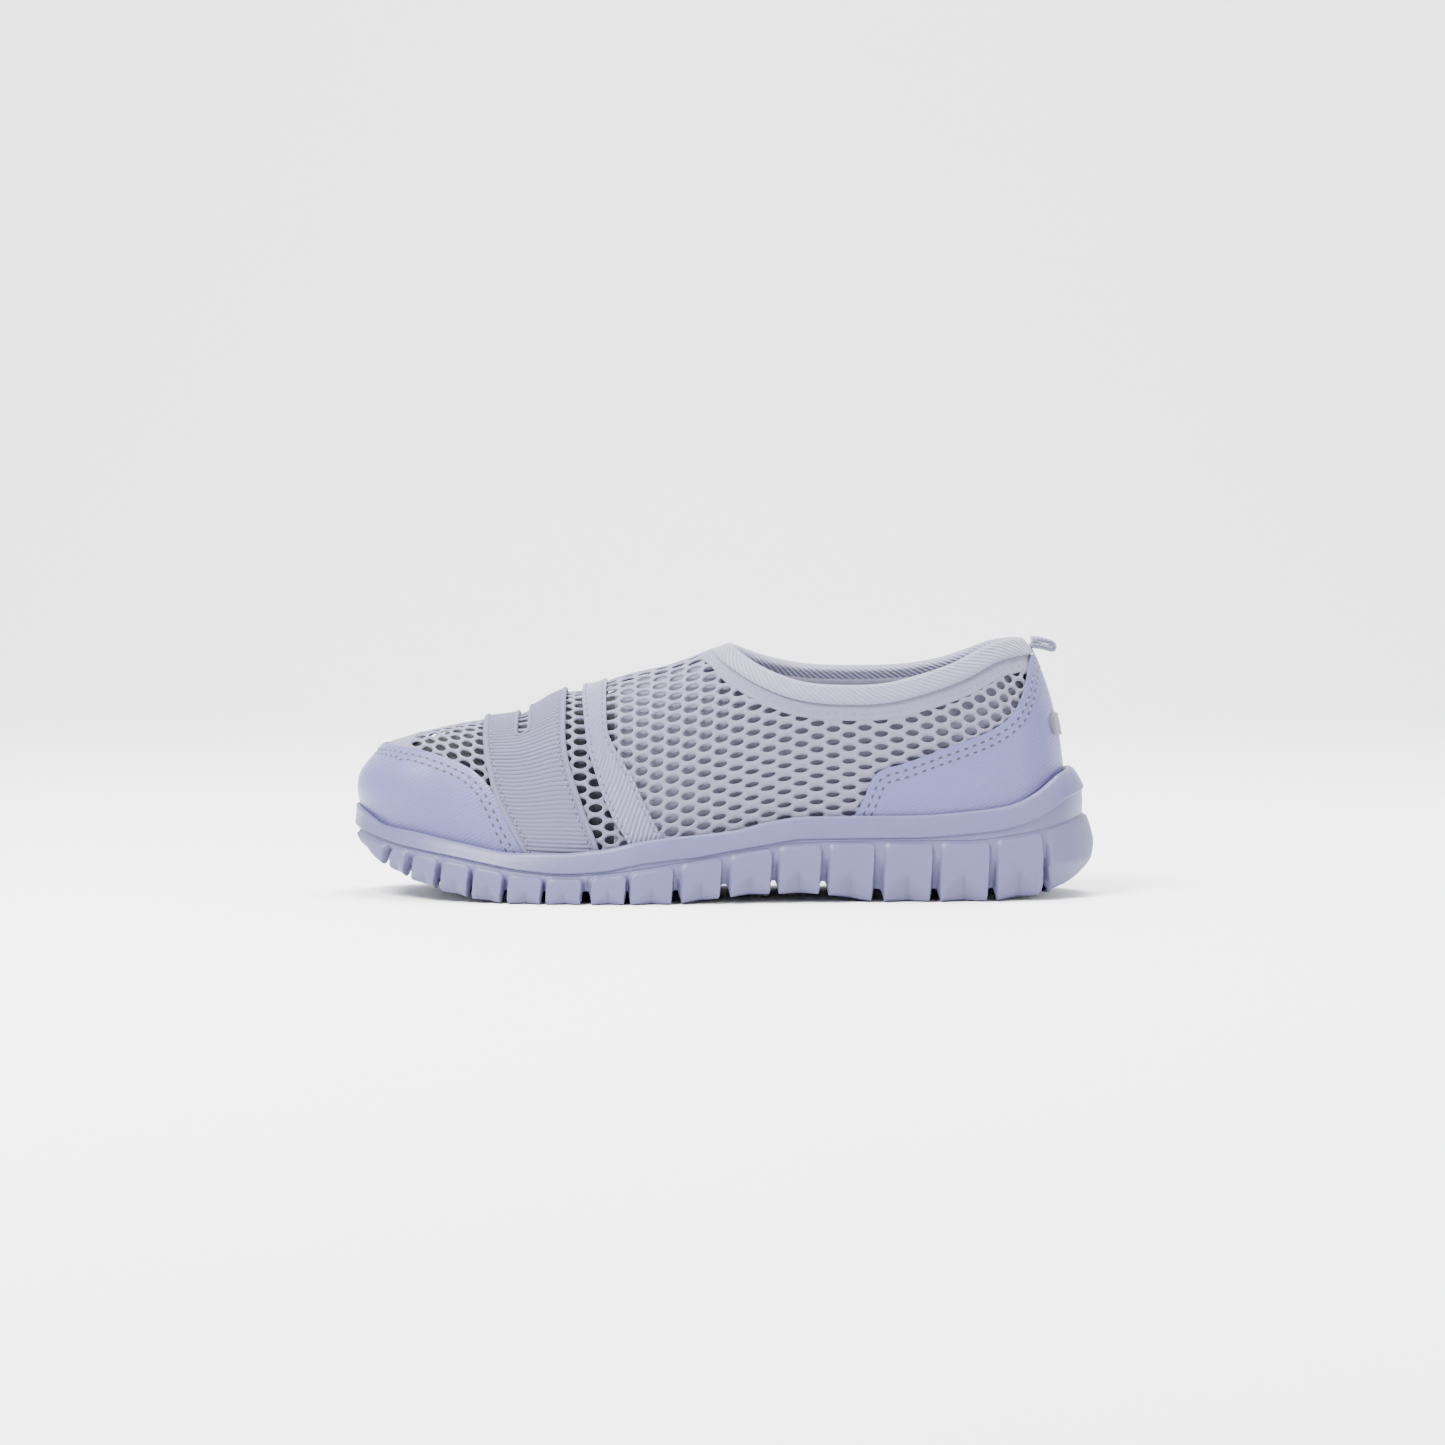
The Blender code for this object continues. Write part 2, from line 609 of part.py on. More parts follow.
def tube(name, points, radius, finish):
    """A round cord along points, with filled ends."""
    curve = bpy.data.curves.new(name, "CURVE")
    curve.dimensions = "3D"
    curve.bevel_depth = radius
    curve.bevel_resolution = 1
    curve.use_fill_caps = True
    line = curve.splines.new("POLY")
    line.points.add(len(points) - 1)
    for point, place in zip(line.points, points):
        point.co = (*map(float, place), 1)
    curve.materials.append(finish)
    obj = bpy.data.objects.new(name, curve)
    shoe.objects.link(obj)
    return obj


def strap_edging(name, edge_x):
    """A folded edging, as a cord along one edge of the strap."""
    offset = OVER_VAMP[0] + EDGING_RADIUS + 0.1 * MM
    return tube(name, over_foot_path(edge_x, offset, 13), EDGING_RADIUS, webbing)


def rear_sheet(front_x, offset_of, rows, before, after):
    """A sheet from a front edge round to the heel. Ahead of the opening both sides meet on the ridge."""
    v = np.linspace(0, 1, rows)

    def columns_of(side, offset):
        front = angle_at_edge(side, v, front_x, offset_of)
        share = np.linspace(0, 1, before)[:, None]
        over_instep = layer(side, front + (SHEET_ANGLE - front) * share, v, offset)
        angle = spread(SHEET_ANGLE, math.pi, after + 1)[1:, None]
        return np.concatenate([over_instep, layer(side, angle, v * below_collar(side, angle), offset)])

    return two_sided(columns_of, rows)


def quarter_mesh():
    """The big mesh panel: over the instep and round both sides to the heel."""
    return shell("quarter_mesh", rear_sheet(QUARTER_FRONT_X, QUARTER[0], 9, 9, 16), QUARTER, mesh_cloth)


def quarter_lining():
    """The soft cloth inside the quarter, whose front edge lies under the vamp."""

    def front(z):
        return QUARTER_FRONT_X(z) + 9 * MM

    return shell("quarter_lining", rear_sheet(front, LINING[0], 7, 5, 15), LINING, lining_cloth)


def heel_patch(name, faces_at, columns, rows, front_x, top, finish):
    """A sheet round the heel, from a front edge on one side to the same on the other."""
    v = np.linspace(0, 1, rows)

    def columns_of(side, offset):
        first = angle_at_edge(side, np.array(0.0), front_x, faces_at[0])
        angle = np.linspace(first, math.pi, columns)[:, None]
        height = v * top(side, angle)
        front = angle_at_edge(side, height, front_x, faces_at[0])
        return layer(side, np.maximum(angle, front), height, offset)

    return shell(name, two_sided(columns_of, rows), faces_at, finish)


def heel_cover():
    """The synthetic leather round the heel, up to the collar tape."""
    def top(side, angle):
        return np.minimum(v_at_edge(side, angle, HEEL_COVER_Z, OVER_QUARTER[0]), below_collar(side, angle))

    return heel_patch("heel_cover", OVER_QUARTER, 14, 6, HEEL_COVER_FRONT_X, top, synthetic)


def heel_stiffener():
    """The board that holds the heel's shape, between the lining and the mesh."""
    share_of_cover = 0.86

    def top(side, angle):
        return share_of_cover * v_at_edge(side, angle, HEEL_COVER_Z, 0.0)

    def front(z):
        return HEEL_COVER_FRONT_X(z) + 12 * MM

    return heel_patch("heel_stiffener", STIFFENER, 10, 5, front, top, board)


def collar_stops(side, steps):
    """Angles evenly spaced along the collar's edge on one side, from the opening's front to the heel."""
    fine = OPENING_ANGLE + (math.pi - OPENING_ANGLE) * np.linspace(0, 1, 400) ** 2
    run = dome(side, fine, collar_v(side, fine))
    length = np.concatenate([[0], np.cumsum(np.linalg.norm(np.diff(run, axis=0), axis=1))])
    return np.interp(np.linspace(0, length[-1], steps), length, fine)


def along_closed(points):
    """The direction along a closed run at each of its points."""
    run = np.roll(points, -1, 0) - np.roll(points, 1, 0)
    return run / np.linalg.norm(run, axis=-1, keepdims=True)


def collar_frame(steps):
    """The collar edge as a closed run: its points, with the directions out of the wall and down it."""
    edges, outwards = [], []
    for side in SIDES:
        angle = np.maximum(collar_stops(side, steps), OPENING_ANGLE + 1e-4)
        top = collar_v(side, angle)
        edge = layer(side, angle, top, 0.0)
        out = (layer(side, angle, top, MM) - edge) / MM
        keep = slice(None) if side == "lateral" else slice(-2, 0, -1)
        edges.append(edge[keep])
        outwards.append(out[keep])
    edge, out = np.concatenate(edges), np.concatenate(outwards)
    down = np.cross(along_closed(edge), out)
    return edge, out, down / np.linalg.norm(down, axis=-1, keepdims=True)


def collar_binding():
    """The twill tape folded over the collar edge: a channel that holds the quarter and its lining."""
    outer, inner = QUARTER[1] + GAP, LINING[0] - GAP
    out_face, in_face = outer + BINDING_THICKNESS, inner - BINDING_THICKNESS
    middle = (out_face + in_face) / 2
    profile = (
        (out_face, BINDING_WIDTH), (out_face, 0.4 * MM), (middle + 1.2 * MM, -1.0 * MM),
        (middle - 1.2 * MM, -1.0 * MM), (in_face, 0.4 * MM), (in_face, BINDING_WIDTH),
        (inner, BINDING_WIDTH), (inner, -0.1 * MM), (outer, -0.1 * MM), (outer, BINDING_WIDTH),
    )
    edge, out, down = collar_frame(18)
    columns = np.stack([edge + out * n + down * d for n, d in profile], 1)
    rows, count = len(profile), len(columns)
    faces = grid_faces(count, rows, closed=True)
    for c in range(count):
        a, b = c * rows, (c + 1) % count * rows
        faces.append((a + rows - 1, b + rows - 1, b, a))
    return mesh_object("collar_binding", columns.reshape(-1, 3), faces, tape)


def heel_badge():
    """A small raised blank badge on the heel cover."""
    rows, columns = 4, 6
    faces_at = (OVER_QUARTER[1] + GAP, OVER_QUARTER[1] + GAP + BADGE_THICKNESS)
    v = np.linspace(*BADGE_V, rows)

    def columns_of(side, offset):
        angle = np.linspace(math.pi - BADGE_HALF_ANGLE, math.pi, columns)[:, None]
        return layer(side, angle, v, offset)

    return shell("heel_badge", two_sided(columns_of, rows), faces_at, badge)


def pull_tab():
    """A tape folded into a short loop that points backwards from the top of the heel."""
    outer, inner = TAB_HALF_GAP + TAB_THICKNESS, TAB_HALF_GAP
    turn = np.linspace(-math.pi / 2, math.pi / 2, 7)
    bend_x = TAB_ROOT_X + TAB_LENGTH - outer
    profile = [(TAB_ROOT_X, -outer)]
    profile += [(bend_x + outer * math.cos(a), outer * math.sin(a)) for a in turn]
    profile += [(TAB_ROOT_X, outer), (TAB_ROOT_X, inner)]
    profile += [(bend_x + inner * math.cos(a), inner * math.sin(a)) for a in -turn]
    profile += [(TAB_ROOT_X, -inner)]
    n = len(profile)
    edges = (HEEL_Y - TAB_WIDTH / 2, HEEL_Y + TAB_WIDTH / 2)
    vertices = [(x, y, TAB_Z + z) for y in edges for x, z in profile]
    faces = [(i, (i + 1) % n, n + (i + 1) % n, n + i) for i in range(n)]
    for start in (0, n):
        faces += [tuple(start + k for k in (i, i + 1, n - 2 - i, n - 1 - i)) for i in range(n // 2 - 1)]
    return mesh_object("pull_tab", vertices, faces, tape)


def hinge(name, x, y, z, pieces):
    """An empty on a hinge's axis, which runs along Y. It carries the pieces that turn about it."""
    empty = bpy.data.objects.new(name, None)
    empty.location = (x, y, z)
    shoe.objects.link(empty)
    for obj in pieces:
        obj.parent = empty
        obj.matrix_parent_inverse = Matrix.Translation(empty.location).inverted()


clear_scene()
shoe = new_collection("running_shoe", bpy.context.scene.collection)
cutters = new_collection("cutters", bpy.context.scene.collection)
rubber = material("tread_rubber", (0.42, 0.43, 0.58), 0.6)
foam = material("midsole_foam", (0.44, 0.45, 0.62), 0.5)
mesh_cloth = material("mesh_cloth", (0.50, 0.50, 0.62), 0.9)
lining_cloth = material("lining_cloth", (0.40, 0.40, 0.50), 0.9)
insole_cloth = material("insole_cloth", (0.42, 0.42, 0.52), 0.85)
synthetic = material("synthetic_leather", (0.46, 0.46, 0.66), 0.5)
webbing = material("webbing", (0.50, 0.50, 0.60), 0.8)
tape = material("twill_tape", (0.52, 0.52, 0.65), 0.7)
board = material("stiffener_board", (0.60, 0.58, 0.55), 0.8)
badge = material("badge_rubber", (0.30, 0.30, 0.36), 0.6)


def inside_upper(x):
    """How far inside the outline the plates that lie in the upper stop."""
    return FLARE(x) + RIM_THICKNESS + LAYER_ROOM(x) - LINING[0] + 2 * GAP


outsole_front, _ = outsole()
midsole_front, _ = midsole()
strobel_front, _ = footbed_plate(
    "strobel_board", "strobel_board_forefoot", "strobel_board_rearfoot",
    2 * GAP, STROBEL_THICKNESS, inside_upper, board,
)
insole_front, _ = footbed_plate(
    "insole", "insole_forefoot", "insole_rearfoot",
    STROBEL_THICKNESS + 3 * GAP, INSOLE_THICKNESS, lambda x: inside_upper(x) + MM, insole_cloth,
)
forefoot = [outsole_front, midsole_front, strobel_front, insole_front]
forefoot += [vamp_mesh(), toe_cap(), toe_puff(), vamp_strap()]
forefoot.append(strap_edging("strap_front_edging", lambda z: STRAP_FRONT_X(z) + EDGING_RADIUS))
forefoot.append(strap_edging("strap_rear_edging", lambda z: STRAP_REAR_X(z) - EDGING_RADIUS))
quarter_mesh()
quarter_lining()
band("quarter_binding", QUARTER_FRONT_X, TAPE_REAR_X, OVER_QUARTER, tape, columns=4)
heel_cover()
heel_stiffener()
collar_binding()
heel_badge()
hinge("toe_flex_axis", FLEX_X, 0, FLEX_Z, forefoot)
hinge("pull_tab_axis", TAB_AXIS_X, HEEL_Y, TAB_Z, [pull_tab()])
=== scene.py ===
"""The looks of a left slip-on running shoe: foam sole, mesh, webbing, tapes, synthetic leather and stitches.

Metres, +Z up, toe towards -X, outer (lateral) side towards -Y. The upper's pieces are layers over one closed
dome, the shape of the last. A place on it is (angle, w): angle runs round the sole's outline from the toe (0)
to the heel (pi), and w over the foot from the lateral sole (0) by the ridge (1) to the medial sole (2).
"""

import math

import bmesh
import bpy
import numpy as np
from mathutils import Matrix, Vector


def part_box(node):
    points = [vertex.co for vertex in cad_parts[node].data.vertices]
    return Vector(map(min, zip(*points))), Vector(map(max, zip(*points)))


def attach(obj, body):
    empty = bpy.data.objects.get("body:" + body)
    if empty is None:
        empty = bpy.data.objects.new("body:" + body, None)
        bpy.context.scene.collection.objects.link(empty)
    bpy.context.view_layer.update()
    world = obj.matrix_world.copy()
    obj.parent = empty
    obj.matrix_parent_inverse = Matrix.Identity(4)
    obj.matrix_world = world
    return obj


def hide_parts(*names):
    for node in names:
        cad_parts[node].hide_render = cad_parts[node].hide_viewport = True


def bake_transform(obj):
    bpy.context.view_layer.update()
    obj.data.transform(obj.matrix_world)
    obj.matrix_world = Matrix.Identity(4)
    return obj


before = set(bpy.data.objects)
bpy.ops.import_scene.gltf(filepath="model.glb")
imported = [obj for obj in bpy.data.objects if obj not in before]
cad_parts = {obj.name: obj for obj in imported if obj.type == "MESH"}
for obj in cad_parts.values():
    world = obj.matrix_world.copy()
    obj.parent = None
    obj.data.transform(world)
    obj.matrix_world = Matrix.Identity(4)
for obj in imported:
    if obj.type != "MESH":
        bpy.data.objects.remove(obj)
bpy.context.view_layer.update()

MM = 0.001
HALF_LENGTH = 131 * MM
GAP = 0.3 * MM
SIDES = ("lateral", "medial")

# Heights of the layers above the dome.
LINING_FACE = -0.9 * MM
VAMP_FACE = 0.5 * MM
CAP_FACE = 2.1 * MM
STRAP_FACE = 1.75 * MM
QUARTER_FACE = 1.75 * MM
OVER_QUARTER_FACE = 3.1 * MM

RIM_THICKNESS = 1.5 * MM
BAND_HEIGHT = 7.5 * MM
CHANNEL_HEIGHT = 4.5 * MM
BINDING_WIDTH = 6.6 * MM
COLUMN_PITCH = 5.55 * MM  # of the mesh's holes along the shoe
ROW_PITCH = 4.5 * MM  # of the mesh's holes over the foot
RIB_PITCH = 1.6 * MM
STITCH_PITCH = 3.2 * MM
WELD = 0.01 * MM
FLOOR_DROP = 0.05 * MM  # of the floor below the tread, so that their faces don't coincide
STRAP_PITCH = 2.6 * MM  # of the strap's stitches

# Each tread block's first and last x, toe to heel, in millimetres.
BLOCKS = (
    (-132, -119.3), (-116.9, -111.2), (-108.6, -100.0), (-98.0, -88.2), (-86.6, -76.2),
    (-74.3, -62.3), (-60.8, -48.4), (-45.2, -33.2), (-31.6, -16.9), (-14.0, -0.4),
    (2.8, 16.8), (19.4, 33.8), (36.6, 52.1), (55.8, 72.2), (75.3, 92.2),
    (95.2, 111.5), (114.0, 132),
)


def smooth(points):
    """A smooth curve through (x, value) points, in millimetres, that never overshoots them."""
    xs, ys = np.array(points, float).T * MM
    step = np.diff(xs)
    slope = np.diff(ys) / step
    bend = np.concatenate([[slope[0]], np.zeros(len(xs) - 2), [slope[-1]]])
    for i in range(1, len(xs) - 1):
        if slope[i - 1] * slope[i] > 0:
            before, after = 2 * step[i] + step[i - 1], step[i] + 2 * step[i - 1]
            bend[i] = (before + after) / (before / slope[i - 1] + after / slope[i])

    def at(x):
        x = np.clip(np.asarray(x, float), xs[0], xs[-1])
        i = np.clip(np.searchsorted(xs, x) - 1, 0, len(step) - 1)
        s = (x - xs[i]) / step[i]
        ends = (1 + 2 * s) * (1 - s) ** 2 * ys[i] + s * s * (3 - 2 * s) * ys[i + 1]
        return ends + step[i] * s * (1 - s) * ((1 - s) * bend[i] - s * bend[i + 1])

    return at


def smoothstep(low, high, value):
    t = np.clip((value - low) / (high - low), 0, 1)
    return t * t * (3 - 2 * t)


def by_angle(points):
    """As smooth(), for a half-breadth given by x. It takes the outline's angle, for round ends."""
    angles = [0.0] + [math.acos(-x * MM / HALF_LENGTH) for x, _ in points] + [math.pi]
    breadths = [0.0] + [b for _, b in points] + [0.0]
    curve = smooth(list(zip(angles, breadths)))
    return lambda angle: curve(np.asarray(angle) * MM)


TOE_Y, HEEL_Y = 9 * MM, 2 * MM
BREADTH = {
    "lateral": by_angle((
        (-127, 16.9), (-117, 30.6), (-100, 42.2), (-80, 49.6), (-55, 54.0), (-35, 54.4), (-10, 51.3),
        (20, 46.0), (50, 42.2), (80, 39.9), (105, 35.2), (121, 24.8), (129, 11.0),
    )),
    "medial": by_angle((
        (-127, 15.1), (-117, 24.4), (-100, 32.8), (-80, 38.7), (-62, 40.8), (-45, 39.8), (-20, 34.5),
        (5, 30.1), (30, 28.8), (55, 30.5), (80, 33.1), (104, 31.3), (120, 23.7), (129, 11.4),
    )),
}
FLARE = smooth(((-131, 1), (-122, 2.2), (-100, 4.2), (60, 5), (110, 7.2), (131, 8)))
LAYER_ROOM = smooth(((-131, 3.3), (-118, 3.9), (-95, 4.1), (131, 4.1)))
TREAD_Z = smooth((
    (-131, 22.4), (-129, 19.5), (-125, 15.5), (-116, 10), (-103, 5), (-94, 2.8), (-85, 1.2), (-76, 0.1),
    (-70, 0), (-20, 0), (-13, 0.5), (0, 2), (12, 3), (27, 3.2), (38, 2.4), (48, 0.7), (55, 0),
    (92, 0), (100, 0.7), (110, 1.8), (118, 3.4), (124, 6), (129, 11), (131, 17),
))
SEAM_Z = smooth((
    (-131, 23.6), (-127, 22.2), (-122, 20.4), (-112, 18), (-93, 14.8), (-81, 12.6), (-70, 10.8), (-55, 9.8),
    (-39, 10.8), (-24, 12.8), (-7, 15.6), (10, 18.6), (28, 20.8), (60, 21.2), (85, 21.2), (103, 23),
    (122, 26.5), (131, 29),
))
FOOTBED_Z = smooth((
    (-131, 25.2), (-110, 21.3), (-80, 15), (-55, 12.6), (-35, 13.6), (0, 19), (30, 23.6), (131, 26),
))
RIM_Z = smooth((
    (-131, 31.6), (-127, 29.2), (-121, 25.5), (-111, 23.8), (-92, 20.2), (-73, 17.4), (-58, 17.4), (-43, 18.6),
    (-28, 21.5), (-21, 22.4), (5, 25.1), (16, 27.8), (29, 29.6), (66, 29.8), (85, 31), (99, 32.6),
    (113, 37), (123, 42.5), (131, 45),
))
RIDGE_X = smooth((
    (-131, -113.5), (-114, -101.5), (-93, -86.5), (-71, -69), (-50, -50), (45, 45), (85, 64), (131, 80),
))
RIDGE_Y = smooth(((-131, 8), (-60, 6), (0, 4), (80, 2)))
RIDGE_Z = smooth((
    (-113.5, 52.9), (-102, 56.5), (-94, 58.4), (-85, 60.0), (-77, 61.0), (-72, 61.8), (-68, 63.5), (-63.5, 66),
    (-59.5, 68.4), (-55, 69.9), (-46, 70.6), (-42, 71.7), (-37.5, 73.7), (-33.5, 75), (-25, 77), (-16, 79.2),
    (-7.5, 82.5), (-3, 84.2), (3, 86), (10, 89), (20, 93), (30, 97), (50, 101), (65, 103), (80, 104),
))
ROUNDNESS = smooth((
    (-126, 2400), (-112, 2400), (-90, 2400), (-60, 2200), (-10, 1850), (25, 2050), (60, 2300), (118, 2100),
))
TOE_BULGE = 3.0 * MM
TOE_BULGE_SPAN = 0.6
COLLAR_FRONT = 3 * MM
COLLAR_Z = {
    "lateral": smooth((
        (3, 85.8), (10, 81), (19, 76.8), (29, 74), (38, 73.3), (48, 73.3), (57, 74), (66, 76.2), (76, 79.2),
        (82, 81.6), (89, 85.4), (95, 87.8), (102, 88.6), (118, 88.6),
    )),
    "medial": smooth((
        (3, 85.8), (10, 83.5), (20, 80.8), (32, 79), (48, 78.6), (62, 79), (76, 81), (89, 85.4), (95, 87.8),
        (102, 88.6), (118, 88.6),
    )),
}

# Edges of the upper's pieces in side view: x by height for the edges that rise, height by x for the rest.
STRAP_FRONT_X = smooth((
    (8, -66), (17.6, -69.3), (26.8, -74.3), (36, -78.9), (45.2, -81.7), (53.5, -83.5), (60, -84),
))
STRAP_REAR_X = smooth((
    (8, -40.5), (19, -43), (28.8, -46.8), (38.9, -50.4), (47.9, -53.3), (58, -54.8), (70, -55),
))
QUARTER_FRONT_X = smooth((
    (8, -29), (21.3, -33), (28.7, -37.6), (36.9, -41.3), (44.3, -44), (53.4, -46.8), (71, -49.5),
))
TAPE_REAR_X = smooth((
    (8, -15), (22.7, -21), (27.7, -23.8), (35, -27.5), (42.5, -31), (51.6, -36.7), (59.9, -40.3), (71, -41),
))
TOE_CAP_REAR_X = smooth(((8, -66), (17.6, -69.5), (26, -74.1), (33, -77.4), (38, -80)))
TOE_CAP_CORNER = -77.4 * MM
TOE_CAP_Z = smooth((
    (-118, 52.6), (-106.6, 51.4), (-95.4, 48.6), (-88, 45.6), (-83, 41.8), (-80, 38), (-77.4, 33),
))
HEEL_COVER_CORNER = 51 * MM
HEEL_COVER_FRONT_X = smooth(((15, 41), (29.7, 45.6), (34.6, 48.4), (41, 51)))
HEEL_COVER_Z = smooth((
    (48, 34), (51, 41), (54, 44.8), (62.5, 47.5), (75.6, 52.2), (85, 55.4), (94.6, 59.5), (101, 64.4),
    (105, 72), (108, 84),
))


# --- The last's dome ------------------------------------------------------------------------------

def outline(side, angle, inset=0.0):
    """Points of the sole's widest outline in plan, moved inwards by inset."""
    sign = -1 if side == "lateral" else 1

    def at(a):
        x = -HALF_LENGTH * np.cos(a)
        centre = TOE_Y + (HEEL_Y - TOE_Y) * (x + HALF_LENGTH) / (2 * HALF_LENGTH)
        return np.stack([x, centre + sign * BREADTH[side](np.clip(a, 0, math.pi))], -1)

    angle = np.asarray(angle, float)
    low, high = np.clip(angle - 0.02, 0, math.pi), np.clip(angle + 0.02, 0, math.pi)
    along = at(high) - at(low)
    at_end = ((angle <= 0) | (angle >= math.pi))[..., None]
    straight = np.stack([np.zeros_like(angle), np.where(angle <= 0, sign, -sign) * 1.0], -1)
    along = np.where(at_end, straight, along)
    along /= np.linalg.norm(along, axis=-1, keepdims=True)
    outwards = np.stack([along[..., 1], -along[..., 0]], -1) * -sign
    return at(angle) - outwards * np.asarray(inset)[..., None]


def dome(side, angle, v):
    """The last's dome on one side: v runs from 0 at the feather line to 1 at the ridge."""
    angle, v = np.broadcast_arrays(np.asarray(angle, float), np.asarray(v, float))
    x = -HALF_LENGTH * np.cos(angle)
    plan = outline(side, angle, FLARE(x) + RIM_THICKNESS + LAYER_ROOM(x))
    base = np.concatenate([plan, (FOOTBED_Z(plan[..., 0]) + 2 * GAP)[..., None]], -1)
    ridge_x = RIDGE_X(x)
    ridge = np.stack([ridge_x, RIDGE_Y(ridge_x), RIDGE_Z(ridge_x)], -1)
    power = 2 / ROUNDNESS(base[..., 0])
    quarter_turn = np.clip(v, 0, 1) * math.pi / 2
    inwards = 1 - np.maximum(np.cos(quarter_turn), 0) ** power
    upwards = np.sin(quarter_turn) ** power
    surface = base + (ridge - base) * np.stack([inwards, inwards, upwards], -1)
    away = base[..., :2] - ridge[..., :2]
    away /= np.linalg.norm(away, axis=-1, keepdims=True)
    at_toe = 1 - smoothstep(-122 * MM, -100 * MM, base[..., 0])
    swell = np.sin(np.clip(v / TOE_BULGE_SPAN, 0, 1) * math.pi) ** 1.5 * at_toe
    surface[..., :2] += away * (TOE_BULGE * swell)[..., None]
    return surface


def layer(side, angle, v, offset):
    """A point at a distance outwards from the dome."""
    angle, v = np.broadcast_arrays(np.asarray(angle, float), np.asarray(v, float))
    small = 0.004
    along = dome(side, np.minimum(angle + small, math.pi), v) - dome(side, np.maximum(angle - small, 0), v)
    up = dome(side, angle, np.minimum(v + small, 1)) - dome(side, angle, np.maximum(v - small, 0))
    outwards = np.cross(along, up) * (1 if side == "lateral" else -1)
    flat = np.zeros_like(angle)
    at_toe = np.stack([-up[..., 2], flat, up[..., 0]], -1)
    at_ridge = np.stack([-along[..., 2], flat, along[..., 0]], -1)
    outwards = np.where((angle < small)[..., None], at_toe, outwards)
    outwards = np.where((angle > math.pi - small)[..., None], -at_toe, outwards)
    outwards = np.where((v > 1 - small)[..., None], at_ridge, outwards)
    outwards /= np.linalg.norm(outwards, axis=-1, keepdims=True)
    return dome(side, angle, v) + outwards * np.asarray(offset)[..., None]


def over(angle, w, offset=0.0):
    """The layer's point at (angle, w), on whichever side w is."""
    angle, w, offset = np.broadcast_arrays(*(np.asarray(n, float) for n in (angle, w, offset)))
    medial = w > 1
    near, far = layer("lateral", angle, w, offset), layer("medial", angle, 2 - w, offset)
    return np.where(medial[..., None], far, near)


def on_side(side, v):
    """w for a height v on the wall of one side."""
    return v if side == "lateral" else 2 - v


def solve(low, high, rises, rounds=36):
    """Where rises() passes zero between low and high, for arrays of places at once."""
    low, high = low + 0.0, high + 0.0
    for _ in range(rounds):
        middle = (low + high) / 2
        passed = rises(middle) > 0
        high, low = np.where(passed, middle, high), np.where(passed, low, middle)
    return (low + high) / 2


def angle_at_edge(w, edge_x, offset=0.0):
    """The angle at which an edge given as x by height crosses each w."""
    w = np.asarray(w, float)

    def past(angle):
        p = over(angle, w, offset)
        return p[..., 0] - edge_x(p[..., 2])

    return solve(np.zeros_like(w), np.full_like(w, math.pi), past)


def v_at_edge(side, angle, edge_z, offset=0.0):
    """The height on the wall, 0 to 1, at which an edge given as height by x crosses each angle."""
    angle = np.asarray(angle, float)

    def above(v):
        p = layer(side, angle, v, offset)
        return p[..., 2] - edge_z(p[..., 0])

    return solve(np.zeros_like(angle), np.ones_like(angle), above)


def angle_of_ridge(x):
    return float(solve(np.array(0.0), np.array(math.pi), lambda a: dome("lateral", a, 1.0)[..., 0] - x))


OPENING_ANGLE = angle_of_ridge(COLLAR_FRONT)


def sloped(angle, w, offset):
    """The dome's steps per radian and per w at places on a layer, and its outward normal."""
    step = 2e-3
    angle = np.clip(angle, step, math.pi - step)
    along = (over(angle + step, w, offset) - over(angle - step, w, offset)) / (2 * step)
    above, below = np.minimum(w + step, 2), np.maximum(w - step, 0)
    up = (over(angle, above, offset) - over(angle, below, offset)) / (2 * step)
    outwards = np.cross(along, up)
    return along, up, outwards / np.linalg.norm(outwards, axis=-1, keepdims=True)


def beside(angle, w, offset, distance):
    """A line moved sideways along the surface: to its left, seen from outside, going the line's way."""
    along, up, outwards = sloped(angle, w, offset)
    run = np.gradient(over(angle, w, offset), axis=0)
    left = np.cross(outwards, run)
    left *= distance / np.maximum(np.linalg.norm(left, axis=-1, keepdims=True), 1e-12)
    aa, au, uu = (along * along).sum(-1), (along * up).sum(-1), (up * up).sum(-1)
    la, lu = (left * along).sum(-1), (left * up).sum(-1)
    scale = np.maximum(aa * uu - au * au, 1e-12)
    angle = angle + (la * uu - lu * au) / scale
    w = w + (lu * aa - la * au) / scale
    return np.clip(angle, 0, math.pi), np.clip(w, 0, 2)


def lengths(points):
    """Distance along a run of points."""
    return np.concatenate([[0], np.cumsum(np.linalg.norm(np.diff(points, axis=0), axis=-1))])


def respaced(angle, w, offset, spacing):
    """The same line with its points evenly spaced."""
    run = lengths(over(angle, w, offset))
    even = np.linspace(0, run[-1], max(int(run[-1] / spacing), 2))
    return np.interp(even, run, angle), np.interp(even, run, w)


# --- Materials ------------------------------------------------------------------------------------

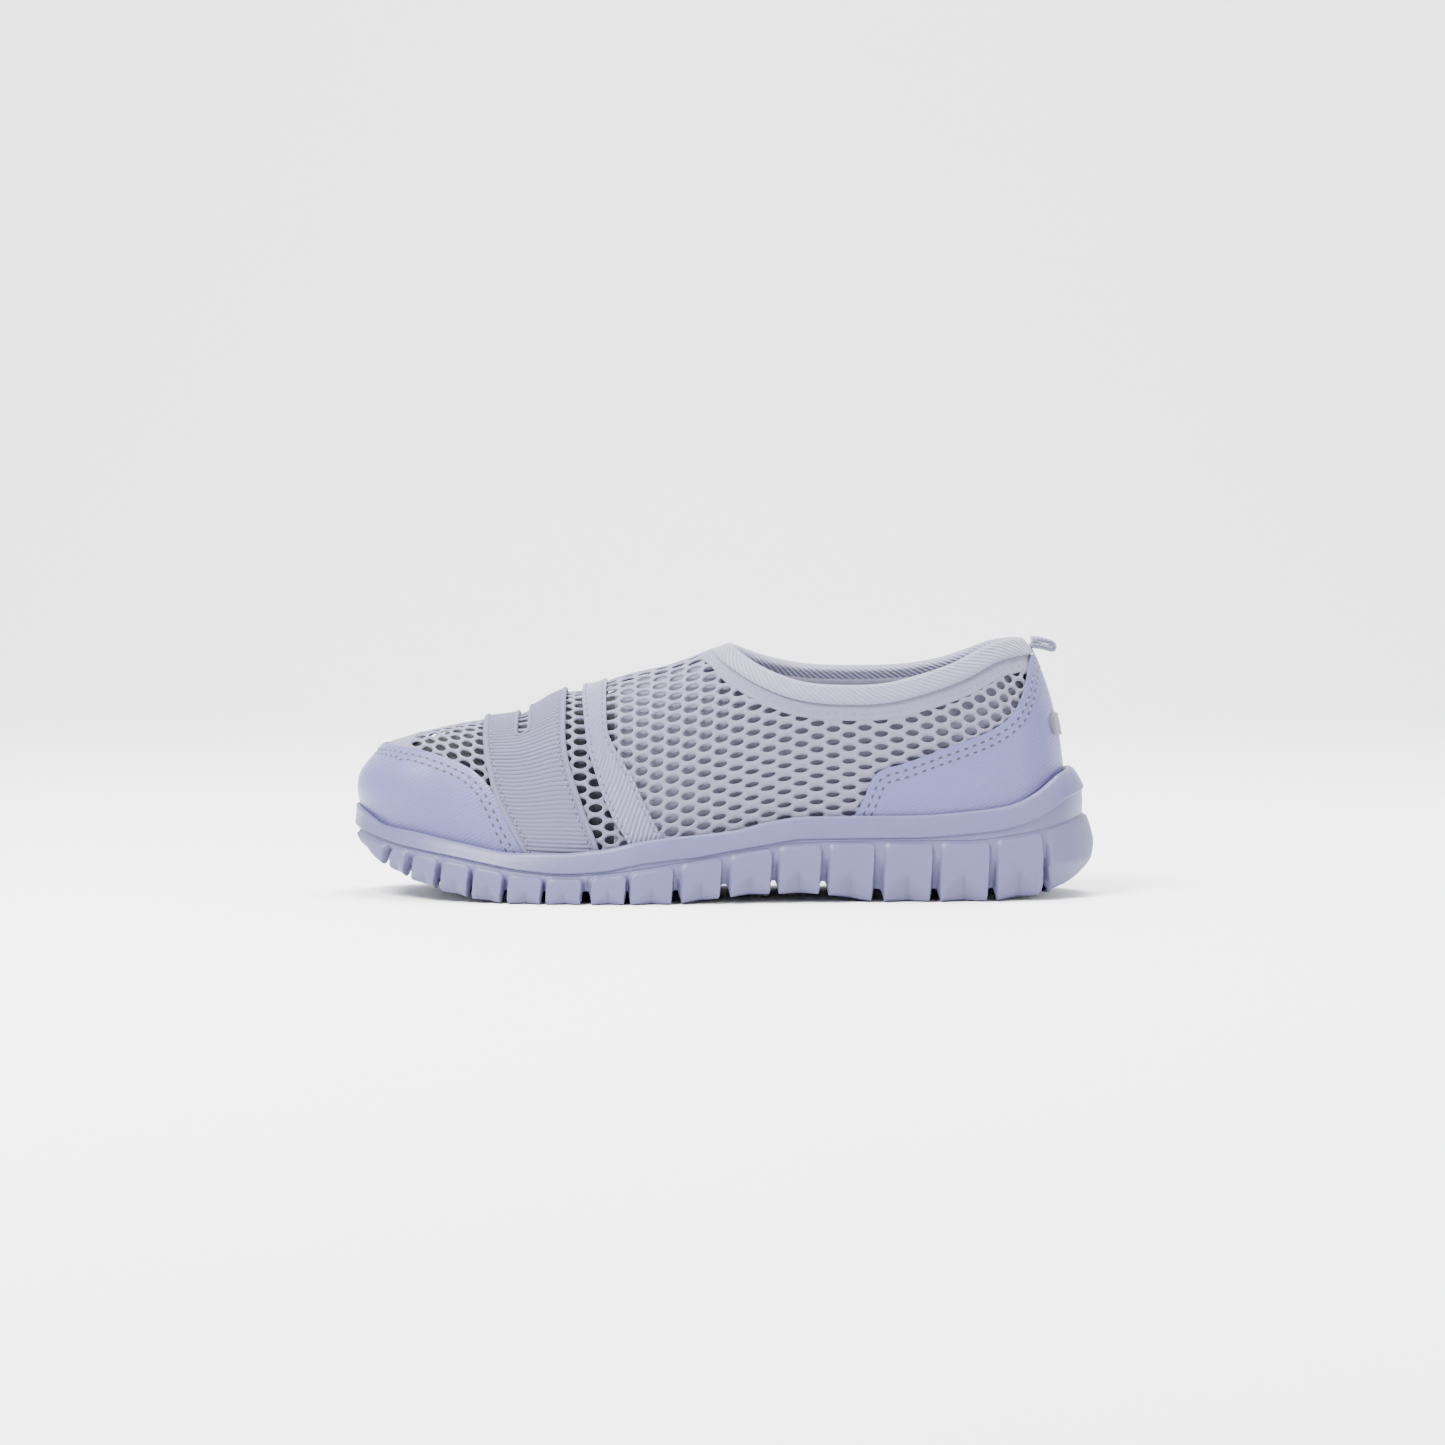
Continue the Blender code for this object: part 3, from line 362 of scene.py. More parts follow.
class Finish:
    """A Principled material built node by node."""

    def __init__(self, name, colour, roughness, sheen=0.0):
        self.material = bpy.data.materials.new(name)
        self.material.use_nodes = True
        self.tree = self.material.node_tree
        self.shader = self.tree.nodes["Principled BSDF"]
        self.shader.inputs["Base Color"].default_value = (*colour, 1)
        self.shader.inputs["Roughness"].default_value = roughness
        self.shader.inputs["Sheen Weight"].default_value = sheen
        self.shader.inputs["Sheen Roughness"].default_value = 0.4
        self.shader.inputs["Specular IOR Level"].default_value = 0.3
        self.colour = colour
        self.roughness = roughness
        self.relief = None

    def add(self, kind, settings=None, **inputs):
        node = self.tree.nodes.new(kind)
        for name, value in (settings or {}).items():
            setattr(node, name, value)
        for name, value in inputs.items():
            socket = node.inputs[name.replace("_", " ")]
            if isinstance(value, bpy.types.NodeSocket):
                self.tree.links.new(value, socket)
            else:
                socket.default_value = value
        return node

    def cloth_coordinates(self, turn=0.0, stretch=(1, 1, 1)):
        """Millimetres over the piece's own surface, turned by an angle."""
        uv = self.add("ShaderNodeTexCoord").outputs["UV"]
        turned = self.add("ShaderNodeMapping", Vector=uv, Rotation=(0, 0, turn))
        return self.add("ShaderNodeMapping", Vector=turned.outputs["Vector"], Scale=stretch).outputs["Vector"]

    def place_coordinates(self):
        """Millimetres in the shoe's own space."""
        place = self.add("ShaderNodeTexCoord").outputs["Object"]
        return self.add("ShaderNodeMapping", Vector=place, Scale=(1000, 1000, 1000)).outputs["Vector"]

    def lines(self, pitch, turn, wobble=0.4, where=None):
        """Soft parallel lines a pitch apart, in millimetres."""
        vector = where or self.cloth_coordinates(turn)
        period = 2 * math.pi / 20
        wave = self.add(
            "ShaderNodeTexWave", {"bands_direction": "X"}, Vector=vector, Scale=period / pitch,
            Distortion=wobble, Detail=1.0, Detail_Scale=2.0,
        )
        return wave.outputs["Fac"]

    def grain(self, scale, detail=3.0, vector=None):
        where = vector or self.place_coordinates()
        return self.add("ShaderNodeTexNoise", Vector=where, Scale=scale, Detail=detail).outputs["Fac"]

    def raise_by(self, height, distance):
        """Adds relief of a depth in millimetres."""
        inputs = {"Height": height, "Distance": distance * MM, "Strength": 1.0}
        if self.relief is not None:
            inputs["Normal"] = self.relief
        self.relief = self.add("ShaderNodeBump", **inputs).outputs["Normal"]
        self.tree.links.new(self.relief, self.shader.inputs["Normal"])

    def tint(self, factor, low, high):
        """Multiplies the colour by a shade from low to high, as factor goes from 0 to 1."""
        source = self.shader.inputs["Base Color"]
        before = source.links[0].from_socket if source.links else None
        ramp = self.add("ShaderNodeMapRange", Value=factor)
        ramp.inputs["To Min"].default_value = low
        ramp.inputs["To Max"].default_value = high
        shade = self.add("ShaderNodeVectorMath", {"operation": "SCALE"}, Scale=ramp.outputs["Result"])
        if before:
            self.tree.links.new(before, shade.inputs["Vector"])
        else:
            shade.inputs["Vector"].default_value = self.colour
        self.tree.links.new(shade.outputs["Vector"], source)

    def vary_roughness(self, factor, spread):
        ramp = self.add("ShaderNodeMapRange", Value=factor)
        ramp.inputs["To Min"].default_value = self.roughness - spread
        ramp.inputs["To Max"].default_value = self.roughness + spread
        self.tree.links.new(ramp.outputs["Result"], self.shader.inputs["Roughness"])


def leather():
    finish = Finish("synthetic_leather", (0.096, 0.095, 0.215), 0.36, sheen=0.05)
    place = finish.place_coordinates()
    slanted = finish.add("ShaderNodeMapping", Vector=place, Rotation=(0, math.radians(-58), 0))
    weave = finish.lines(1.25, 0, 1.0, where=slanted.outputs["Vector"])
    cross = finish.lines(0.7, math.radians(-35), wobble=1.5)
    finish.raise_by(weave, 0.06)
    finish.raise_by(cross, 0.03)
    finish.raise_by(finish.grain(2.4), 0.05)
    finish.tint(weave, 0.97, 1.02)
    finish.tint(finish.grain(0.05), 0.94, 1.06)
    finish.vary_roughness(finish.grain(0.3), 0.07)
    return finish.material


def knit(name, colour):
    finish = Finish(name, colour, 0.75, sheen=0.35)
    yarn = finish.grain(3.2, 2.0)
    strands = finish.lines(0.45, math.radians(20), wobble=3.0)
    finish.raise_by(strands, 0.09)
    finish.raise_by(yarn, 0.12)
    finish.tint(yarn, 0.90, 1.08)
    finish.tint(finish.grain(0.06), 0.95, 1.05)
    return finish.material


def webbing_cloth():
    finish = Finish("webbing", (0.112, 0.110, 0.175), 0.72, sheen=0.05)
    picks = finish.lines(0.55, 0.0, wobble=0.8)
    finish.raise_by(picks, 0.08)
    finish.raise_by(finish.grain(4.0), 0.05)
    finish.tint(picks, 0.95, 1.04)
    finish.tint(finish.grain(0.08), 0.96, 1.04)
    return finish.material


def twill(name, colour, pitch, turn):
    finish = Finish(name, colour, 0.42, sheen=0.35)
    ridges = finish.lines(pitch, turn, wobble=0.9)
    threads = finish.lines(pitch / 3, turn + math.pi / 2, wobble=1.5)
    finish.raise_by(ridges, 0.22)
    finish.raise_by(threads, 0.05)
    finish.tint(ridges, 0.86, 1.06)
    finish.tint(finish.grain(0.1), 0.96, 1.04)
    finish.raise_by(finish.grain(1.1, 4.0), 0.12)
    finish.vary_roughness(finish.grain(1.4, 4.0), 0.22)
    finish.shader.inputs["Specular IOR Level"].default_value = 0.6
    return finish.material


def foam(name, colour, roughness, wear):
    finish = Finish(name, colour, roughness)
    finish.raise_by(finish.grain(1.6), 0.03)
    finish.raise_by(finish.grain(0.18), 0.10)
    finish.tint(finish.grain(0.035), 0.95, 1.05)
    finish.tint(finish.grain(0.5, 6.0), 1 - wear, 1 + wear)
    finish.vary_roughness(finish.grain(0.12), 0.08)
    return finish.material


def thread(name, colour):
    finish = Finish(name, colour, 0.5, sheen=0.3)
    finish.raise_by(finish.lines(0.35, math.radians(35)), 0.05)
    finish.tint(finish.grain(1.0), 0.92, 1.06)
    return finish.material


# --- Making pieces --------------------------------------------------------------------------------

def piece(name, vertices, faces, finish, uv=None, weld=0.002 * MM, sharp=38, bevel=0.0):
    """A mesh object with its finish. uv holds millimetres for each vertex."""
    mesh = bpy.data.meshes.new(name)
    points = np.asarray(vertices, float).reshape(-1, 3).tolist()
    mesh.from_pydata(points, [], [tuple(map(int, face)) for face in faces])
    if uv is not None:
        layer_uv = mesh.uv_layers.new(name="surface")
        corner = np.empty(len(mesh.loops), np.int32)
        mesh.loops.foreach_get("vertex_index", corner)
        places = np.asarray(uv, float).reshape(-1, 2)[corner] / MM
        layer_uv.data.foreach_set("uv", places.astype(np.float32).ravel())
    work = bmesh.new()
    work.from_mesh(mesh)
    bmesh.ops.remove_doubles(work, verts=work.verts, dist=weld)
    bmesh.ops.dissolve_degenerate(work, edges=work.edges, dist=weld)
    bmesh.ops.recalc_face_normals(work, faces=work.faces)
    if bevel:
        edges = [e for e in work.edges if e.is_manifold and e.calc_face_angle() > math.radians(60)]
        bmesh.ops.bevel(
            work, geom=edges, offset=bevel, segments=2, profile=0.6, affect="EDGES", clamp_overlap=True
        )
    work.to_mesh(mesh)
    work.free()
    mesh.materials.append(finish)
    mesh.shade_smooth()
    mesh.set_sharp_from_angle(angle=math.radians(sharp))
    obj = bpy.data.objects.new(name, mesh)
    bpy.context.scene.collection.objects.link(obj)
    return obj


def grid(columns, rows, closed=False):
    """Quads of a grid whose vertices run column by column. A closed one joins its last column to the first."""
    c, r = np.meshgrid(np.arange(columns if closed else columns - 1), np.arange(rows - 1), indexing="ij")
    a, b = c * rows + r, (c + 1) % columns * rows + r
    return np.stack([a, b, b + 1, a + 1], -1).reshape(-1, 4)


def flat_sizes(points):
    """Millimetre coordinates for a grid of points: along its columns and up its rows."""
    across = np.concatenate([[0], np.cumsum(np.linalg.norm(np.diff(points, axis=0), axis=-1).mean(1))])
    up = np.concatenate([[0], np.cumsum(np.linalg.norm(np.diff(points, axis=1), axis=-1).mean(0))])
    return np.stack(np.meshgrid(across, up, indexing="ij"), -1)


def panel(name, angle, w, faces_at, finish, bevel=0.22 * MM, uv=None, closed=False):
    """A sheet with thickness over a grid of places: columns first, rows second."""
    inner, outer = over(angle, w, faces_at[0]), over(angle, w, faces_at[1])
    columns, rows = inner.shape[:2]
    count = columns * rows
    quads = grid(columns, rows, closed)
    edge_loop = [(c, 0) for c in range(columns)] + [(columns - 1, r) for r in range(1, rows)]
    edge_loop += [(c, rows - 1) for c in range(columns - 2, -1, -1)]
    edge_loop += [(0, r) for r in range(rows - 2, 0, -1)]
    rim = [c * rows + r for c, r in edge_loop]
    walls = [(a, b, b + count, a + count) for a, b in zip(rim, rim[1:] + rim[:1])]
    vertices = np.concatenate([outer.reshape(-1, 3), inner.reshape(-1, 3)])
    faces = [*quads.tolist(), *(quads[:, ::-1] + count).tolist(), *walls]
    sizes = flat_sizes(outer) if uv is None else uv
    return piece(name, vertices, faces, finish, np.concatenate([sizes.reshape(-1, 2)] * 2), bevel=bevel)


def stitches(name, lines, finish, pitch=STITCH_PITCH, length=1.9 * MM, radius=0.27 * MM):
    """Rows of thread: a flattened bead for each stitch. A line is (angle, w, offset)."""
    around, along, lift = 6, 5, 0.03 * MM
    vertices, faces = [], []
    profile = np.sin(np.linspace(0, math.pi, along)) ** 0.5
    profile[[0, -1]] = 0.25
    turn = np.linspace(0, 2 * math.pi, around, endpoint=False)
    for angle, w, offset in lines:
        angle, w = respaced(angle, w, offset, pitch / 8)
        points = over(angle, w, offset + lift)
        normal = sloped(angle, w, offset)[2]
        run = lengths(points)
        for centre in np.arange(pitch / 2, run[-1], pitch):
            stops = centre + np.linspace(-length / 2, length / 2, along)
            spine = np.stack([np.interp(stops, run, points[:, k]) for k in range(3)], -1)
            out = np.stack([np.interp(stops, run, normal[:, k]) for k in range(3)], -1)
            out /= np.linalg.norm(out, axis=1, keepdims=True)
            way = np.gradient(spine, axis=0)
            side = np.cross(out, way)
            side /= np.maximum(np.linalg.norm(side, axis=1, keepdims=True), 1e-12)
            start = len(vertices)
            spine = spine - out * (radius * 1.3 * (1 - profile))[:, None]
            for k in range(along):
                size = radius * profile[k]
                for a in turn:
                    across, upwards = side[k] * math.cos(a) * size, out[k] * math.sin(a) * size * 0.8
                    vertices.append(spine[k] + across + upwards)
            for k in range(along - 1):
                for a in range(around):
                    b = (a + 1) % around
                    n = start + k * around
                    faces.append((n + a, n + b, n + around + b, n + around + a))
            faces.append(tuple(start + a for a in range(around))[::-1])
            faces.append(tuple(start + (along - 1) * around + a for a in range(around)))
    uv = np.zeros((len(vertices), 2))
    uv[:, 0] = np.arange(len(vertices)) * 0.1 * MM
    return piece(name, vertices, faces, finish, uv, weld=0.0)


def needle_holes(name, lines, finish, pitch=STITCH_PITCH, radius=0.5 * MM):
    """Small dimples where the needle went through, between the stitches, coloured near-black: painted shade in
    the holes.
    """
    around = 8
    turn = np.linspace(0, 2 * math.pi, around, endpoint=False)
    vertices, faces = [], []
    for angle, w, offset in lines:
        angle, w = respaced(angle, w, offset, pitch / 8)
        points, normal = over(angle, w, offset), sloped(angle, w, offset)[2]
        run = lengths(points)
        for centre in np.arange(0, run[-1], pitch):
            place = np.array([np.interp(centre, run, points[:, k]) for k in range(3)])
            out = np.array([np.interp(centre, run, normal[:, k]) for k in range(3)])
            way = np.array([np.interp(centre + 0.5 * MM, run, points[:, k]) for k in range(3)]) - place
            way /= max(np.linalg.norm(way), 1e-9)
            side = np.cross(out, way)
            start = len(vertices)
            for size, height in ((1.0, 0.06 * MM), (0.8, 0.12 * MM)):
                for a in turn:
                    ring = way * math.cos(a) * 1.6 + side * math.sin(a) * 0.8
                    vertices.append(place + ring * radius * size + out * height)
            vertices.append(place + out * 0.12 * MM)
            vertices.append(place - out * 0.3 * MM)
            for a in range(around):
                b = (a + 1) % around
                faces.append((start + a, start + b, start + around + b, start + around + a))
                faces.append((start + around + a, start + around + b, start + 2 * around))
                faces.append((start + b, start + a, start + 2 * around + 1))
    return piece(name, vertices, faces, finish, np.zeros((len(vertices), 2)), weld=0.0)


def bends(obj, *nodes):
    """The piece stands for CAD nodes: bakes its transform and hides those nodes."""
    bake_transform(obj)
    if nodes:
        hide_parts(*nodes)
    return obj


# --- The sole -------------------------------------------------------------------------------------

def sole_stations():
    """Angles round the sole, close together at the edges of the tread blocks."""
    near_edge = np.array([0.0, 0.25, 0.55, 0.9, 1.4, 2.0, 2.8]) * MM
    xs = []
    for low, high in np.array(BLOCKS) * MM:
        if high > HALF_LENGTH or low < -HALF_LENGTH:
            continue
        inner = np.linspace(low + 2.8 * MM, high - 2.8 * MM, 7)[1:-1]
        xs += list(low + near_edge) + list(inner) + list(high - near_edge)
    for (_, before), (after, _) in zip(BLOCKS, BLOCKS[1:]):
        xs += list(np.linspace(before * MM, after * MM, 6)[1:-1])
    angles = [math.acos(-x / HALF_LENGTH) for x in xs]
    first, last = math.acos(-BLOCKS[0][1] * MM / HALF_LENGTH), math.acos(-BLOCKS[-1][0] * MM / HALF_LENGTH)
    angles += list(np.linspace(0, first, 18)) + list(np.linspace(last, math.pi, 22))
    angles += [first - e for e in (0.004, 0.01, 0.02)] + [last + e for e in (0.004, 0.01, 0.02)]
    return np.unique(np.round(angles, 5))


def block_distance(x, z):
    """How far outside the nearest tread block's face a place on the sidewall is, and its facet's depth."""
    corner = 2.0 * MM
    heel_slope, block_slope, apex_height = 0.36, 0.42, 0.52
    top = SEAM_Z(x) - 1.1 * MM
    away = np.full(np.shape(x), 1.0)
    facet = np.zeros(np.shape(x))
    for number, (low, high) in enumerate(np.array(BLOCKS) * MM):
        centre, half = (low + high) / 2, (high - low) / 2
        slant = 0.06 * (z - 10 * MM)
        dx = np.abs(x - slant - centre) - half + corner
        dz = z - top + corner
        outside = np.hypot(np.maximum(dx, 0), np.maximum(dz, 0)) + np.minimum(np.maximum(dx, dz), 0) - corner
        away = np.minimum(away, outside)
        if number == len(BLOCKS) - 1:
            cut = heel_slope * (13 * MM - z) * (x > low)
        else:
            apex = TREAD_Z(x) + (SEAM_Z(x) - TREAD_Z(x)) * apex_height
            cut = block_slope * (apex - z - np.abs(x - centre) * 1.1)
            cut = np.where(np.abs(x - centre) < half, cut, 0)
        facet = np.maximum(facet, cut)
    return away, facet


def outsole(finish):
    """The tread: blocks with rounded corners and a facet low on each face, and grooves right across."""
    angles = sole_stations()
    x = -HALF_LENGTH * np.cos(angles)
    down = np.concatenate([[0.0, 0.03, 0.06, 0.1, 0.14], np.linspace(0.19, 0.94, 15), [0.97, 1.0]])
    across = np.linspace(0, 1, 34)[1:-1]
    gap = smoothstep(-0.4 * MM, 0.6 * MM, block_distance(x, TREAD_Z(x) + 2 * MM)[0])
    floor = TREAD_Z(x) + gap * np.minimum(CHANNEL_HEIGHT, 0.6 * (SEAM_Z(x) - TREAD_Z(x)))
    walls = {}
    for side in SIDES:
        t = down[None, :]
        z = SEAM_Z(x)[:, None] * (1 - t) + floor[:, None] * t
        xx = np.broadcast_to(x[:, None], z.shape)
        away, facet = block_distance(xx, z)
        recess = smoothstep(-0.4 * MM, 0.6 * MM, away) * (1.2 * MM + 2.8 * MM * smoothstep(0.1, 0.9, t))
        belly = 0.4 * FLARE(xx) * (1 - t) ** 1.6
        height = SEAM_Z(xx) - floor[:, None]
        foot = np.maximum(0, 1.8 * MM - (1 - t) * height) / (1.8 * MM)
        rounding = 1.8 * MM * (1 - np.sqrt(np.maximum(1 - foot**2, 0)))
        inset = belly + recess + rounding * (1 - gap[:, None]) + np.maximum(facet, 0) * (1 - gap[:, None])
        plan = outline(side, np.broadcast_to(angles[:, None], z.shape), inset)
        walls[side] = np.concatenate([plan, z[..., None]], -1)
    left, right = walls["lateral"][:, -1:], walls["medial"][:, -1:]
    base = left + (right - left) * across[None, :, None]
    edge = np.minimum(across, 1 - across)[None, :]
    middle = np.exp(-(((across - 0.5) / 0.035) ** 2))[None, :]
    zigzag = np.exp(-(((across[None, :] - 0.5) ** 2 - 0.05) / 0.012) ** 2)
    base[..., 2] += (2.2 * MM * middle + 1.0 * MM * zigzag) * smoothstep(0.0, 0.08, edge) * (1 - gap[:, None])
    section = np.concatenate([walls["lateral"], base, walls["medial"][:, ::-1]], 1)
    columns, rows = section.shape[:2]
    starts = [c * rows for c in range(columns)]
    lid = [(a, a + rows - 1, b + rows - 1, b) for a, b in zip(starts, starts[1:])]
    faces = [*grid(columns, rows).tolist(), *lid]
    uv = flat_sizes(section).reshape(-1, 2)
    return piece("outsole", section.reshape(-1, 3), faces, finish, uv, weld=WELD)


def midsole(finish):
    """The cushioning deck: a smooth band round the shoe with a soft lip on top and a fine ledge below."""
    angles = np.linspace(0, math.pi, 320)
    x = -HALF_LENGTH * np.cos(angles)
    low, top, flare = SEAM_Z(x), RIM_Z(x), FLARE(x)
    ledge = np.maximum(top - BAND_HEIGHT, low + 0.8 * MM)
    rows = [
        (0.4 * flare + 3.0 * MM, low),
        (0.4 * flare + 1.0 * MM, low + 0.1 * MM),
        (0.4 * flare + 0.9 * MM, low * 0.5 + ledge * 0.5),
        (0.42 * flare + 1.0 * MM, ledge - 0.25 * MM),
        (0.44 * flare + 0.25 * MM, ledge),
        (0.45 * flare, ledge + 0.35 * MM),
        (0.50 * flare + 0.10 * MM, ledge + 0.2 * (top - ledge)),
        (0.58 * flare + 0.20 * MM, ledge + 0.4 * (top - ledge)),
        (0.68 * flare + 0.25 * MM, ledge + 0.6 * (top - ledge)),
        (0.80 * flare + 0.20 * MM, ledge + 0.77 * (top - ledge)),
        (0.90 * flare, ledge + 0.88 * (top - ledge)),
        (0.97 * flare + 0.05 * MM, top - 0.45 * MM),
        (flare + 0.30 * MM, top - 0.1 * MM),
        (flare + 0.75 * MM, top),
        (flare + 1.2 * MM, top - 0.1 * MM),
        (flare + RIM_THICKNESS, top - 0.5 * MM),
        (flare + RIM_THICKNESS, top - 2.5 * MM),
        (flare + RIM_THICKNESS, FOOTBED_Z(x)),
    ]
    rings = []
    for side in SIDES:
        plan = np.stack([np.concatenate([outline(side, angles, i), z[:, None]], -1) for i, z in rows], 1)
        rings.append(plan if side == "lateral" else plan[-2:0:-1])
    ring = np.concatenate(rings)
    columns, count = ring.shape[:2]
    faces = grid(columns, count, closed=True).tolist()
    half = columns // 2
    for row, turned in ((0, 1), (count - 1, -1)):
        for c in range(half):
            quad = dict.fromkeys(((c % columns), c + 1, (columns - c - 1) % columns, (columns - c) % columns))
            faces.append(tuple(k * count + row for k in quad)[::turned])
    uv = flat_sizes(ring).reshape(-1, 2)
    return piece("midsole", ring.reshape(-1, 3), faces, finish, uv, weld=WELD)


def footbed_sheet(name, bottom, thickness, inset, crown, finish, bevel):
    """A sheet that follows the footbed, raised at its edge."""
    angles = np.linspace(0, math.pi, 160)
    x = -HALF_LENGTH * np.cos(angles)
    sides = [outline(s, angles, FLARE(x) + RIM_THICKNESS + LAYER_ROOM(x) + inset) for s in SIDES]
    share = np.linspace(0, 1, 25)
    plan = sides[0][:, None] + (sides[1] - sides[0])[:, None] * share[None, :, None]
    lift = crown * (np.abs(share - 0.5) * 2) ** 4
    faces_at = []
    for height in (bottom, bottom + thickness):
        z = FOOTBED_Z(plan[..., 0]) + height + lift * (height > bottom)
        faces_at.append(np.concatenate([plan, z[..., None]], -1))
    columns, rows = plan.shape[:2]
    count = columns * rows
    quads = grid(columns, rows)
    walls = []
    for r in (0, rows - 1):
        line = [c * rows + r for c in range(columns)]
        walls += [(a, b, b + count, a + count) for a, b in zip(line, line[1:])]
    vertices = np.concatenate([faces_at[1].reshape(-1, 3), faces_at[0].reshape(-1, 3)])
    uv = np.concatenate([flat_sizes(faces_at[1]).reshape(-1, 2)] * 2)
    faces = [*quads.tolist(), *(quads[:, ::-1] + count).tolist(), *walls]
    return piece(name, vertices, faces, finish, uv, weld=WELD, bevel=bevel)


# --- Open mesh ------------------------------------------------------------------------------------

class Girth:
    """Turns a distance over the foot, from the lateral sole, into w."""

    def __init__(self):
        self.angles = np.linspace(0.02, math.pi - 0.02, 220)
        w = np.linspace(0, 2, 241)
        points = over(self.angles[:, None], w[None, :])
        steps = np.linalg.norm(np.diff(points, axis=1), axis=-1)
        run = np.concatenate([np.zeros((len(self.angles), 1)), np.cumsum(steps, 1)], 1)
        self.spacing = 0.5 * MM
        even = np.arange(0, run[:, -1].max(), self.spacing)
        self.table = np.stack([np.interp(even, line, w) for line in run])

    def w(self, angle, distance):
        c = np.clip((angle - self.angles[0]) / (self.angles[1] - self.angles[0]), 0, len(self.angles) - 1.001)
        r = np.clip(distance / self.spacing, 0, self.table.shape[1] - 1.001)
        i, j = c.astype(int), r.astype(int)
        s, t = c - i, r - j
        low = self.table[i, j] * (1 - t) + self.table[i, j + 1] * t
        high = self.table[i + 1, j] * (1 - t) + self.table[i + 1, j + 1] * t
        return low * (1 - s) + high * s


def slimmer(p):
    """How far the mesh's holes are open, 0 to 1: low on the quarter they are drawn into slits."""
    x, z = p[..., 0], p[..., 2]
    low = smoothstep(-22 * MM, 8 * MM, x) * (1 - smoothstep(46 * MM, 60 * MM, z))
    high = smoothstep(-5 * MM, 12 * MM, x) * (1 - smoothstep(64 * MM, 84 * MM, x))
    high = high * smoothstep(50 * MM, 60 * MM, z)
    return 1 - 0.42 * low - 0.3 * high


def open_mesh(name, girth, wanted, face, finish, hole):
    """A sheet of knitted mesh with its real holes: pointed ovals in a honeycomb, between round bars."""
    p, r = COLUMN_PITCH, ROW_PITCH
    columns = np.arange(int(-127 * MM / p), int(126 * MM / p) + 1)
    rows = np.arange(0, int(240 * MM / r))
    i, j = (n.ravel() for n in np.meshgrid(columns, rows, indexing="ij"))
    centre_s = i * p
    centre_g = (j + 0.5 * (i % 2)) * r + 1.0 * MM
    angle = np.arccos(np.clip(-centre_s / HALF_LENGTH, -1, 1))
    w = girth.w(angle, centre_g)
    places = over(angle, w, face)
    keep = (w < 1.985) & (w > 0.005) & wanted(places, w)
    centre_s, centre_g = centre_s[keep], centre_g[keep]
    corners = np.array([
        (2 / 3 * p, 0), (p / 3, r / 2), (-p / 3, r / 2), (-2 / 3 * p, 0), (-p / 3, -r / 2), (p / 3, -r / 2),
    ])
    edge = np.stack([corners, (corners + np.roll(corners, -1, 0)) / 2], 1).reshape(-1, 2)
    turn = np.linspace(0, 2 * math.pi, 12, endpoint=False)
    turn = np.arctan2(np.sin(turn) * 0.95, np.cos(turn))
    oval = np.stack([
        np.sign(np.cos(turn)) * np.abs(np.cos(turn)) ** 1.15 * hole[0],
        np.sign(np.sin(turn)) * np.abs(np.sin(turn)) ** 0.92 * hole[1],
    ], -1)
    heights = np.array([0.50, 0.40, 0.02, -0.34, -0.46]) * MM
    n = len(heights)
    cells = len(centre_s)
    shapes = [edge, edge * 0.35 + oval * 0.65, oval, edge * 0.25 + oval * 0.75, edge]
    open_by = slimmer(places[keep])[:, None]
    s = np.stack([centre_s[:, None] + shape[:, 0] for shape in shapes], 1)
    tall = [centre_g[:, None] + shape[:, 1] * (open_by if 0 < k < 4 else 1) for k, shape in enumerate(shapes)]
    g = np.stack(tall, 1)
    lift = np.broadcast_to(heights[None, :, None], s.shape)
    angle = np.arccos(np.clip(-s / HALF_LENGTH, -0.9999, 0.9999))
    w_all = girth.w(angle, np.maximum(g, 0))
    points = over(angle, w_all, face + lift)
    index = np.arange(cells * n * 12).reshape(cells, n, 12)
    faces = []
    for k in range(n - 1):
        a, b = index[:, k], index[:, k + 1]
        faces.append(np.stack([a, np.roll(a, -1, 1), np.roll(b, -1, 1), b], -1).reshape(-1, 4))
    uv = np.stack([s, g], -1).reshape(-1, 2)
    quads = np.concatenate(faces).tolist()
    return piece(name, points.reshape(-1, 3), quads, finish, uv, weld=0.05 * MM, sharp=75)


def above_toe_cap(p, margin):
    x, z = p[..., 0], p[..., 2]
    ahead = (x < -78 * MM) & (z > TOE_CAP_Z(x) - margin)
    return ahead | ((x >= -82 * MM) & (x > TOE_CAP_REAR_X(z) - margin))


def below_collar(p, w, margin):
    x, z = p[..., 0], p[..., 2]
    edge = np.where(w > 1, COLLAR_Z["medial"](x), COLLAR_Z["lateral"](x))
    return (x < COLLAR_FRONT - margin) | (z < edge - margin)


def vamp_mesh(girth, finish):
    def wanted(p, w):
        return above_toe_cap(p, 6 * MM) & (p[..., 0] < QUARTER_FRONT_X(p[..., 2]) + 7 * MM)

    return open_mesh("vamp_mesh", girth, wanted, VAMP_FACE, finish, (2.5 * MM, 1.5 * MM))


def quarter_mesh(girth, finish):
    def wanted(p, w):
        behind_tape = p[..., 0] > QUARTER_FRONT_X(p[..., 2]) + 4 * MM
        return behind_tape & below_collar(p, w, 4.2 * MM)

    return open_mesh("quarter_mesh", girth, wanted, QUARTER_FACE, finish, (2.45 * MM, 1.5 * MM))


# --- Overlays -------------------------------------------------------------------------------------

